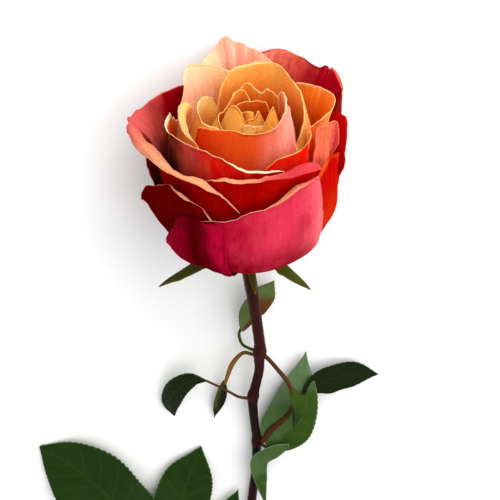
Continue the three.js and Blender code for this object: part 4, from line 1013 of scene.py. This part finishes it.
def surface_grain(given):
    """Patches and velvet: a slow and a very fine noise through the piece."""
    return {"Patch": ease(noise(given["Place"], given["Patch Scale"], 3.0, 0.55), 0.38, 0.66),
            "Grain": noise(given["Place"], given["Grain Scale"], 2.0, 0.6)}


def leaf_veins(given):
    """Midrib, side veins that run forward from it in pairs, and a fine net between them. Across runs from
    0 to 1 with the midrib at a half."""
    centred = calculate("ABSOLUTE", given["Across"] * 2.0 - 1.0)
    slant = given["Along"] * VEIN_PAIRS - centred * VEIN_SLANT
    nearest = calculate("ABSOLUTE", calculate("FRACT", slant + 20.5) - 0.5)
    side = ease(nearest, 0.0, 0.1, 1.0, 0.0) * ease(centred, 0.6, 1.0, 1.0, 0.0)
    vein = calculate("MAXIMUM", ease(centred, 0.0, 0.07, 1.0, 0.0), side)
    net = centred.tree.nodes.new("ShaderNodeTexVoronoi")
    net.feature = "DISTANCE_TO_EDGE"
    net.inputs["Scale"].default_value = 1.3
    place = vector(given["Across"] * given["Size"], given["Along"] * (given["Size"] * 1.6))
    plug(net.inputs["Vector"], place)
    mesh = ease(Wire(net.outputs["Distance"]), 0.0, 0.14, 1.0, 0.0)
    return {"Vein": vein, "Net": mesh, "Height": calculate("MAXIMUM", vein, mesh * 0.4)}


TINT_NUMBERS = ("Across", "Along", "Inside", "Edge", "Edge Width", "Place", "Reach", "Seed")
TINT_COLOURS = ("Foot", "Start", "Middle", "End", "Throat", "Inside Start", "Inside Middle", "Inside End",
                "Rim", "Lip Start", "Lip End")
# Shader groups: inputs and outputs with their kinds, and the function that fills the group.
GROUPS = {
    "Petal tint": (dict.fromkeys(TINT_NUMBERS, "Float") | dict.fromkeys(TINT_COLOURS, "Color"),
                   {"Colour": "Color"}, petal_tint),
    "Petal veins": (dict.fromkeys(("Across", "Along", "Count", "Seed"), "Float"),
                    dict.fromkeys(("Vein", "Height", "Streak"), "Float"), petal_veins),
    "Surface grain": ({"Place": "Vector", "Patch Scale": "Float", "Grain Scale": "Float"},
                      dict.fromkeys(("Patch", "Grain"), "Float"), surface_grain),
    "Leaf veins": (dict.fromkeys(("Across", "Along", "Size"), "Float"),
                   dict.fromkeys(("Vein", "Net", "Height"), "Float"), leaf_veins),
}


def use_group(tree, name, **values):
    """Places a shared group, made at its first use, with its inputs set; gives its outputs as wires."""
    node = tree.nodes.new("ShaderNodeGroup")
    node.node_tree = bpy.data.node_groups.get(name) or make_group(name, *GROUPS[name])
    for key, value in values.items():
        plug(node.inputs[key.replace("_", " ")], value)
    return wires(node.outputs)


def attribute(tree, name):
    """Wire of a named attribute of the mesh."""
    node = tree.nodes.new("ShaderNodeAttribute")
    node.attribute_name = name
    return Wire(node.outputs["Fac"])


def new_material(name, **shader_values):
    """Material with a Principled shader whose plain values are set; gives the material, its tree and the
    shader."""
    material = bpy.data.materials.new(name)
    material.use_nodes = True
    shader = material.node_tree.nodes["Principled BSDF"]
    for key, value in shader_values.items():
        shader.inputs[key.replace("_", " ")].default_value = value
    return material, material.node_tree, shader


def streaks(tree, count, seed, stretch=1.0):
    """Streaks along a piece, so many across it, drawn shorter by the stretch."""
    across, along = attribute(tree, "across"), attribute(tree, "along") * stretch
    return use_group(tree, "Petal veins", Across=across, Along=along, Count=count, Seed=seed)


def grains(tree, patch, grain):
    """Patches and grain in Object coordinates, each at its scale."""
    place = Wire(tree.nodes.new("ShaderNodeTexCoord").outputs["Object"])
    return use_group(tree, "Surface grain", Place=place, Patch_Scale=patch, Grain_Scale=grain)


def colour_shader(shader, colour):
    """Base colour of a shader."""
    plug(shader.inputs["Base Color"], colour)


def roughen(shader, grain, low, high):
    """Roughness between two values by the grain."""
    plug(shader.inputs["Roughness"], ease(grain, 0.3, 0.7, low, high))


def relief(shader, height, strength, depth=0.0003):
    """Bump on the shader from a height, so many metres deep."""
    bump = height.tree.nodes.new("ShaderNodeBump")
    bump.inputs["Strength"].default_value = strength
    bump.inputs["Distance"].default_value = depth
    plug(bump.inputs["Height"], height)
    plug(shader.inputs["Normal"], Wire(bump.outputs["Normal"]))


def petal_material(name):
    """Velvety petal: the shared tint, a little streaked and patchy, with veins and grain in relief."""
    paint = PAINT.get(name, HEART_PAINT)
    _, outer, inner, rim, rim_width, lip, place, reach = (*paint, *USUAL_MIDDLE)[:8]
    outer, inner = outer.split(), inner.split()
    glow = HEART_GLOW if name in HEART else 1
    material, tree, shader = new_material(name + " petal skin", Specular_IOR_Level=0.0,
                                          Subsurface_Weight=0.25 * glow, Subsurface_Scale=0.0015 * glow)
    shader.inputs["Subsurface Radius"].default_value = (1.0, 0.4, 0.2)
    seed = float(sum(map(ord, name)) % 97)
    labels = [label.replace(" ", "_") for label in TINT_COLOURS]
    colours = dict(zip(labels, map(pigment, (*outer, *inner, rim, *lip.split()))))
    across, along = attribute(tree, "across"), attribute(tree, "along") * 2.0
    tint = use_group(tree, "Petal tint", Across=across, Along=along, Inside=attribute(tree, "inside"),
                     Edge=attribute(tree, "rim"), Edge_Width=rim_width, Place=place, Reach=reach, Seed=seed,
                     **colours)["Colour"]
    veins = streaks(tree, count=130.0, seed=seed, stretch=2.0)
    grain = grains(tree, patch=110.0, grain=1500.0)["Grain"]
    streaked = blend(veins["Vein"] * 0.16, tint, pigment(outer[0]))
    second, amount = MOTTLES.get(name, (inner[2], 0.12))
    shaded = blend(veins["Streak"] * amount, streaked, pigment(second))
    fleck = ease(grain, 0.32, 0.68, 0.92, 1.09)
    colour_shader(shader, blend(1.0, shaded, vector(fleck, fleck, fleck), "MULTIPLY"))
    roughen(shader, grain, low=0.5, high=0.66)
    relief(shader, veins["Height"] + grain * 0.25, strength=0.2)
    return material


def leaf_material(name):
    """Leaf skin: one colour on each side of the midrib and one at the tip, another underneath, with paler
    veins, a fine net, its rim and relief. The broad leaf's darker side is painted shade and its silver tip
    painted sheen, and silver rims paint a sheen along the edges."""
    _, upper, (down, veined, rim), _ = LEAF_FINISHES[name]
    one, other, tip = map(pigment, upper)
    material, tree, shader = new_material(name + " leaf skin", Specular_IOR_Level=0.08,
                                          Subsurface_Weight=0.05, Subsurface_Scale=0.001)
    shader.inputs["Subsurface Radius"].default_value = (0.5, 1.0, 0.2)
    across, along = attribute(tree, "across"), attribute(tree, "along")
    veins = use_group(tree, "Leaf veins", Across=across, Along=along, Size=attribute(tree, "size"))
    grain = grains(tree, patch=60.0, grain=1800.0)
    drift = (grain["Patch"] - 0.5) * 0.3
    face = blend(ease(across + drift, 0.3, 0.7), one, other)
    face = blend(ease(along + drift, 0.55, 0.95), face, tip)
    face = blend(attribute(tree, "inside"), face, pigment(down))
    face = blend(grain["Patch"] * 0.3, face, pigment("moss"))
    face = blend(veins["Net"] * 0.07, face, pigment(veined))
    face = blend(veins["Vein"] * 0.22, face, pigment(veined))
    # Rim colour along the leaf's edge; where it is silver it is a painted sheen.
    colour_shader(shader, blend(ease(attribute(tree, "rim"), 0.1, 0.6, 0.6, 0.0), face, pigment(rim)))
    roughen(shader, grain["Grain"], low=0.4, high=0.55)
    relief(shader, veins["Height"] + grain["Grain"] * 0.3, strength=0.4)
    return material


def stalk_material(name, start, end):
    """Leaf stalk: one colour at the stem, another at the leaf, with fine streaks."""
    material, tree, shader = new_material(name + " stalk skin", Specular_IOR_Level=0.06)
    streak = streaks(tree, count=9.0, seed=4.0)
    colour = blend(ease(attribute(tree, "along"), 0.1, 0.95), pigment(start), pigment(end))
    colour_shader(shader, blend(streak["Vein"] * 0.35, colour, pigment("bark")))
    plug(shader.inputs["Roughness"], ease(streak["Height"], 0.4, 1.1, 0.4, 0.6))
    relief(shader, streak["Height"], strength=0.3, depth=0.0002)
    return material


def bark_material():
    """Stem skin: dark maroon, waxier and paler in streaks and at the swellings, with small pale pores."""
    material, tree, shader = new_material("Stem bark", Specular_IOR_Level=0.06)
    along = attribute(tree, "along")
    streak = streaks(tree, count=14.0, seed=2.0, stretch=9.0)
    grain = grains(tree, patch=55.0, grain=1500.0)
    worn = streak["Vein"] * 0.22 + (attribute(tree, "knot") * 0.4 + grain["Patch"] * 0.18)
    skin = blend(ease(along, 0.15, 0.45), pigment("bark"), pigment("soot"))
    colour = blend(worn * ease(along, 0.15, 0.5, 1.0, 0.45), skin, pigment("bloomed"))
    place = Wire(tree.nodes.new("ShaderNodeTexCoord").outputs["Object"])
    pores = ease(noise(place, 900.0, 1.0, 0.4), 0.71, 0.78, 0.0, 0.3)
    colour_shader(shader, blend(pores, colour, pigment("ochre")))
    roughen(shader, grain["Grain"], low=0.36, high=0.54)
    relief(shader, streak["Height"] + grain["Grain"] * 0.4, strength=0.5)
    return material


def pith_material():
    """Cut end: pale, with darker patches."""
    material, tree, shader = new_material("Cut pith", Roughness=0.8)
    grain = grains(tree, patch=800.0, grain=3000.0)
    colour_shader(shader, blend(grain["Patch"], pigment("pith"), pigment("ochre")))
    relief(shader, grain["Grain"], strength=0.4, depth=0.0002)
    return material


def sepal_material():
    """Hip and sepals: olive, with painted shade darkening them towards the root under the bloom, darker in
    streaks, with a thin rusty rim.
    """
    material, tree, shader = new_material("Sepal skin", Specular_IOR_Level=0.05)
    streak = streaks(tree, count=16.0, seed=9.0)
    grain = grains(tree, patch=90.0, grain=2000.0)["Grain"]
    # Painted shade: moss towards the root, under the bloom.
    dark = ease(attribute(tree, "along"), 0.0, 0.5, 0.75, 0.1)
    skin = blend(dark, pigment("olive"), pigment("moss"))
    lined = blend(streak["Vein"] * 0.6, skin, pigment("moss"))
    colour_shader(shader, blend(ease(attribute(tree, "rim"), 0.1, 0.6, 0.5, 0.0), lined, pigment("ochre")))
    roughen(shader, grain, low=0.45, high=0.62)
    relief(shader, streak["Height"] + grain * 0.4, strength=0.4)
    return material


# Hip, stem and leaves.


def sepal_shell(sizes, azimuth, length, drop, half_width):
    """Sepal: it leaves the hip, bows up by a sine and hangs by the square of its way out; its width falls
    off to a long tip, with a few lobes along its edges, and its middle is keeled."""
    rows, columns = SEPAL_GRID
    s, v = np.meshgrid(np.linspace(0, 1, rows), np.linspace(-1, 1, columns), indexing="ij")
    angle = math.radians(azimuth)
    foot_radius, foot_height = SEPAL_FOOT
    radius = foot_radius + (length - foot_radius) * s
    bow = 1.6 * np.sin(np.pi * np.minimum(2 * s, 1)) * (1 - s)
    height = foot_height + bow + (drop - foot_height) * s**2
    width = half_width * (1 - s) ** 0.8 * (0.65 + 1.4 * s - 0.6 * s**2) + 0.12
    lobes = 0.16 * np.maximum(np.sin(np.pi * (5.5 * s + 0.3 * np.sign(v))), 0) ** 3 * np.sin(np.pi * s)
    width = width * (1 + lobes * np.abs(v) ** 3)
    curl = 0.25 * width * (np.abs(v) + np.sin(2 * np.pi * (1.4 * s + 0.2)) * v**2)
    _, right, front, axis = bloom_frame(sizes)
    across = right * math.cos(angle) - front * math.sin(angle)
    points = bloom_point(sizes, np.full_like(s, angle), radius, height)
    points = points + across * (width * v)[..., None] - axis * curl[..., None]
    rim = distance_to_rim(points)
    half = (0.28 + 0.2 * bell(v * width, 0, 0.5) * (1 - s)) * round_edge(rim, SEPAL_EDGE) + LEAST_HALF
    shell, quads = close_sheet(points, sheet_normals(points), half)
    return shell, quads, None, 0, two_faces(across=v / 2 + 0.5, along=s, rim=rim)


def turned_shell(sizes, profile, sides=40, rings=48):
    """Profile of (radius, height) turned about the bloom's axis with five slight ridges, closed by a
    middle point at each end."""
    share = np.linspace(0, 1, rings)
    line = curve_through(profile, share)
    around = np.linspace(0, 2 * np.pi, sides, endpoint=False)
    angle, radius = np.meshgrid(around, line[:, 0])
    height = np.broadcast_to(line[:, 1:], radius.shape)
    points = bloom_point(sizes, angle, radius * (1 + 0.03 * np.sin(5 * angle)), height)
    tips = bloom_point(sizes, np.zeros(2), np.zeros(2), line[[0, -1], 1])
    flat = np.concatenate([points.reshape(-1, 3), tips])
    values = {"across": np.concatenate([np.tile(np.abs(around / np.pi - 1), rings), [0.5, 0.5]]),
              "along": 0.25 + 0.1 * np.concatenate([np.repeat(share, sides), [0, 1]]),
              "rim": np.full(len(flat), FAR_FROM_RIM)}
    return flat, *ring_faces(rings, sides), 0, values


def knot_share(along):
    """How close a share of the stem is to one of its swellings: a bell curve about each, in stem
    points."""
    return bell(along[:, None] * (len(STEM) - 1), np.array(KNOTS), 0.55).max(axis=1)


def prickle_rows(point, azimuth, length):
    """Centre line of a prickle: out from the stem, bending towards the cut end by the square of its way,
    its radius falling by a power of the way left."""
    *middle, radius = curve_through(STEM, np.array([point / (len(STEM) - 1)]))[0]
    angle = math.radians(azimuth)
    out = np.array([math.sin(angle), 0, math.cos(angle)])
    s = np.linspace(0, 1, 7)[:, None]
    line = np.array(middle) + out * (radius * 0.55 + (length + radius * 0.45) * s)
    return np.hstack([line - np.array([0, 1.8, 0]) * s**2, 1.5 * (1 - s) ** 0.8 + 0.12])


def stem_swell(around, along):
    """Factor on the stem's radius: a little more at the hip, with five ridges that wind round it and fine
    rings, all fading towards the cut end."""
    ridges = 0.015 * np.sin(2 * np.pi * (5 * around + 3 * along)) + 0.012 * np.sin(2 * np.pi * 41 * along)
    return 1 + 0.05 * (1 - along) + ridges * (1 - 0.8 * along)


class ROSE_OT_outer_petals(bpy.types.Operator):
    """Make the outer petals of the bloom"""
    bl_idname = "rose.outer_petals"
    bl_label = "Outer petals"

    def execute(self, context):
        for name in OUTER:
            petal_piece(name)
        return {"FINISHED"}


class ROSE_OT_heart_petals(bpy.types.Operator):
    """Make the inner petals and the heart of the bloom"""
    bl_idname = "rose.heart_petals"
    bl_label = "Heart petals"

    def execute(self, context):
        for name in HEART:
            petal_piece(name)
        return {"FINISHED"}


class ROSE_OT_hip(bpy.types.Operator):
    """Make the hip, the receptacle and the five sepals"""
    bl_idname = "rose.hip"
    bl_label = "Hip and sepals"

    def execute(self, context):
        sizes = context.scene.rose_sizes
        parts = [turned_shell(sizes, HIP_PROFILE)] + [sepal_shell(sizes, *row) for row in SEPALS]
        seat(put_mesh("hip_and_sepals", parts, [sepal_material()]), "hip", "hip_green")
        return {"FINISHED"}


class ROSE_OT_stem(bpy.types.Operator):
    """Make the stem with its swellings, prickles and cut end"""
    bl_idname = "rose.stem"
    bl_label = "Stem"

    def execute(self, context):
        sides = STEM_GRID[0]
        points, quads, ends, around, along = tube_shell(STEM, *STEM_GRID, stem_swell)
        parts = [(points, quads, ends, 0, {"across": around, "along": along, "knot": knot_share(along)})]
        for row in PRICKLES:
            *thorn, round_it, along_it = tube_shell(prickle_rows(*row), *PRICKLE_GRID)
            parts.append((*thorn, 0, {"across": round_it, "along": along_it * 0.05, "knot": 1 - along_it}))
        piece = put_mesh("stem_bark", parts, [bark_material(), pith_material()])
        kinds = np.zeros(len(piece.data.polygons), np.int32)
        cut_end = len(quads) + sides
        kinds[cut_end:cut_end + sides] = 1
        piece.data.polygons.foreach_set("material_index", kinds)
        seat(piece, "stem", "stem_bark")
        return {"FINISHED"}


class ROSE_OT_leaves(bpy.types.Operator):
    """Make the leaves with their stalks"""
    bl_idname = "rose.leaves"
    bl_label = "Leaves"

    def execute(self, context):
        sizes = context.scene.rose_sizes
        for name, (finish, stalks, leaflets) in LEAVES.items():
            kinds = [finish] + sorted({row[5] for row in leaflets if len(row) > 5})
            parts = []
            for rows in stalks:
                *tube, around, along = tube_shell(rows, *STALK_GRID)
                parts.append((*tube, len(kinds), {"across": around, "along": along}))
            for leaflet in leaflets:
                shell, quads, values = leaflet_shell(sizes, *leaflet[:5])
                parts.append((shell, quads, None, kinds.index((*leaflet, finish)[5]), values))
            slot, _, _, stalk = LEAF_FINISHES[finish]
            materials = [leaf_material(kind) for kind in kinds] + [stalk_material(name, *stalk)]
            seat(put_mesh(name + "_blades", parts, materials), name, slot)
        return {"FINISHED"}


class ROSE_OT_stage(bpy.types.Operator):
    """Make the floor, the soft lights and the camera"""
    bl_idname = "rose.stage"
    bl_label = "Stage"

    def execute(self, context):
        scene = context.scene
        stage = scene.rose_stage
        half = stage.floor_size / 2
        mesh = bpy.data.meshes.new("floor")
        corners = [(-half, -half, 0), (half, -half, 0), (half, half, 0), (-half, half, 0)]
        mesh.from_pydata(corners, [], [(0, 1, 2, 3)])
        floor = bpy.data.objects.new("floor", mesh)
        scene.collection.objects.link(floor)
        material, tree, shader = new_material("Studio paper", Roughness=0.9, Specular_IOR_Level=0.2)
        patch = grains(tree, patch=8.0, grain=400.0)["Patch"]
        colour_shader(shader, blend(patch * 0.02, pigment("paper"), pigment("silver")))
        mesh.materials.append(material)

        for name, place, size, power in (("Key light", (0.45, 0.25, 0.6), 1.0, stage.key_power),
                                         ("Top light", (0.2, 0.72, 0.42), 0.5, stage.top_power)):
            data = bpy.data.lights.new(name, "AREA")
            data.shape = "DISK"
            data.size = size
            data.energy = power
            light = bpy.data.objects.new(name, data)
            light.location = place
            light.rotation_mode = "QUATERNION"
            light.rotation_quaternion = (Vector(LIT_POINT) - Vector(place)).to_track_quat("-Z", "Y")
            scene.collection.objects.link(light)
        world = bpy.data.worlds.new("Even light")
        world.use_nodes = True
        background = world.node_tree.nodes["Background"]
        background.inputs["Color"].default_value = (1, 1, 1, 1)
        background.inputs["Strength"].default_value = stage.sky
        scene.world = world

        data = bpy.data.cameras.new("Camera")
        data.sensor_width = 36
        data.lens = 36 * stage.focal_share
        data.clip_start, data.clip_end = 0.01, 20
        camera = bpy.data.objects.new("Camera", data)
        rise, run = math.sin(stage.camera_pitch), math.cos(stage.camera_pitch)
        camera.matrix_world = Matrix(((1, 0, 0, stage.camera_x), (0, rise, run, stage.camera_y),
                                      (0, -run, rise, stage.camera_height), (0, 0, 0, 1)))
        scene.collection.objects.link(camera)
        scene.camera = camera
        scene.view_settings.view_transform = "Standard"
        return {"FINISHED"}


class ROSE_PT_panel(bpy.types.Panel):
    """Lists the rose's pieces and its sizes"""
    bl_label = "Rose"
    bl_idname = "ROSE_PT_panel"
    bl_space_type = "VIEW_3D"
    bl_region_type = "UI"
    bl_category = "Rose"

    def draw(self, context):
        for operator in OPERATORS:
            self.layout.operator(operator.bl_idname)
        for group in (context.scene.rose_sizes, context.scene.rose_stage, context.scene.rose_pigments):
            box = self.layout.box()
            for key in group.__annotations__:
                box.prop(group, key)


OPERATORS = (ROSE_OT_outer_petals, ROSE_OT_heart_petals, ROSE_OT_hip, ROSE_OT_stem, ROSE_OT_leaves,
             ROSE_OT_stage)
CLASSES = (RosePigments, RoseSizes, RoseStage, *OPERATORS, ROSE_PT_panel)


def register():
    """Registers the classes and gives the scene its pigments, sizes and stage."""
    for cls in CLASSES:
        bpy.utils.register_class(cls)
    bpy.types.Scene.rose_pigments = bpy.props.PointerProperty(type=RosePigments)
    bpy.types.Scene.rose_sizes = bpy.props.PointerProperty(type=RoseSizes)
    bpy.types.Scene.rose_stage = bpy.props.PointerProperty(type=RoseStage)


def unregister():
    """Takes back what register did, in the opposite order."""
    for name in ("rose_stage", "rose_sizes", "rose_pigments"):
        delattr(bpy.types.Scene, name)
    for cls in reversed(CLASSES):
        bpy.utils.unregister_class(cls)


def main():
    register()
    bpy.ops.rose.outer_petals()
    bpy.ops.rose.heart_petals()
    bpy.ops.rose.hip()
    bpy.ops.rose.stem()
    bpy.ops.rose.leaves()
    bpy.ops.rose.stage()


if __name__ == "__main__":
    main()
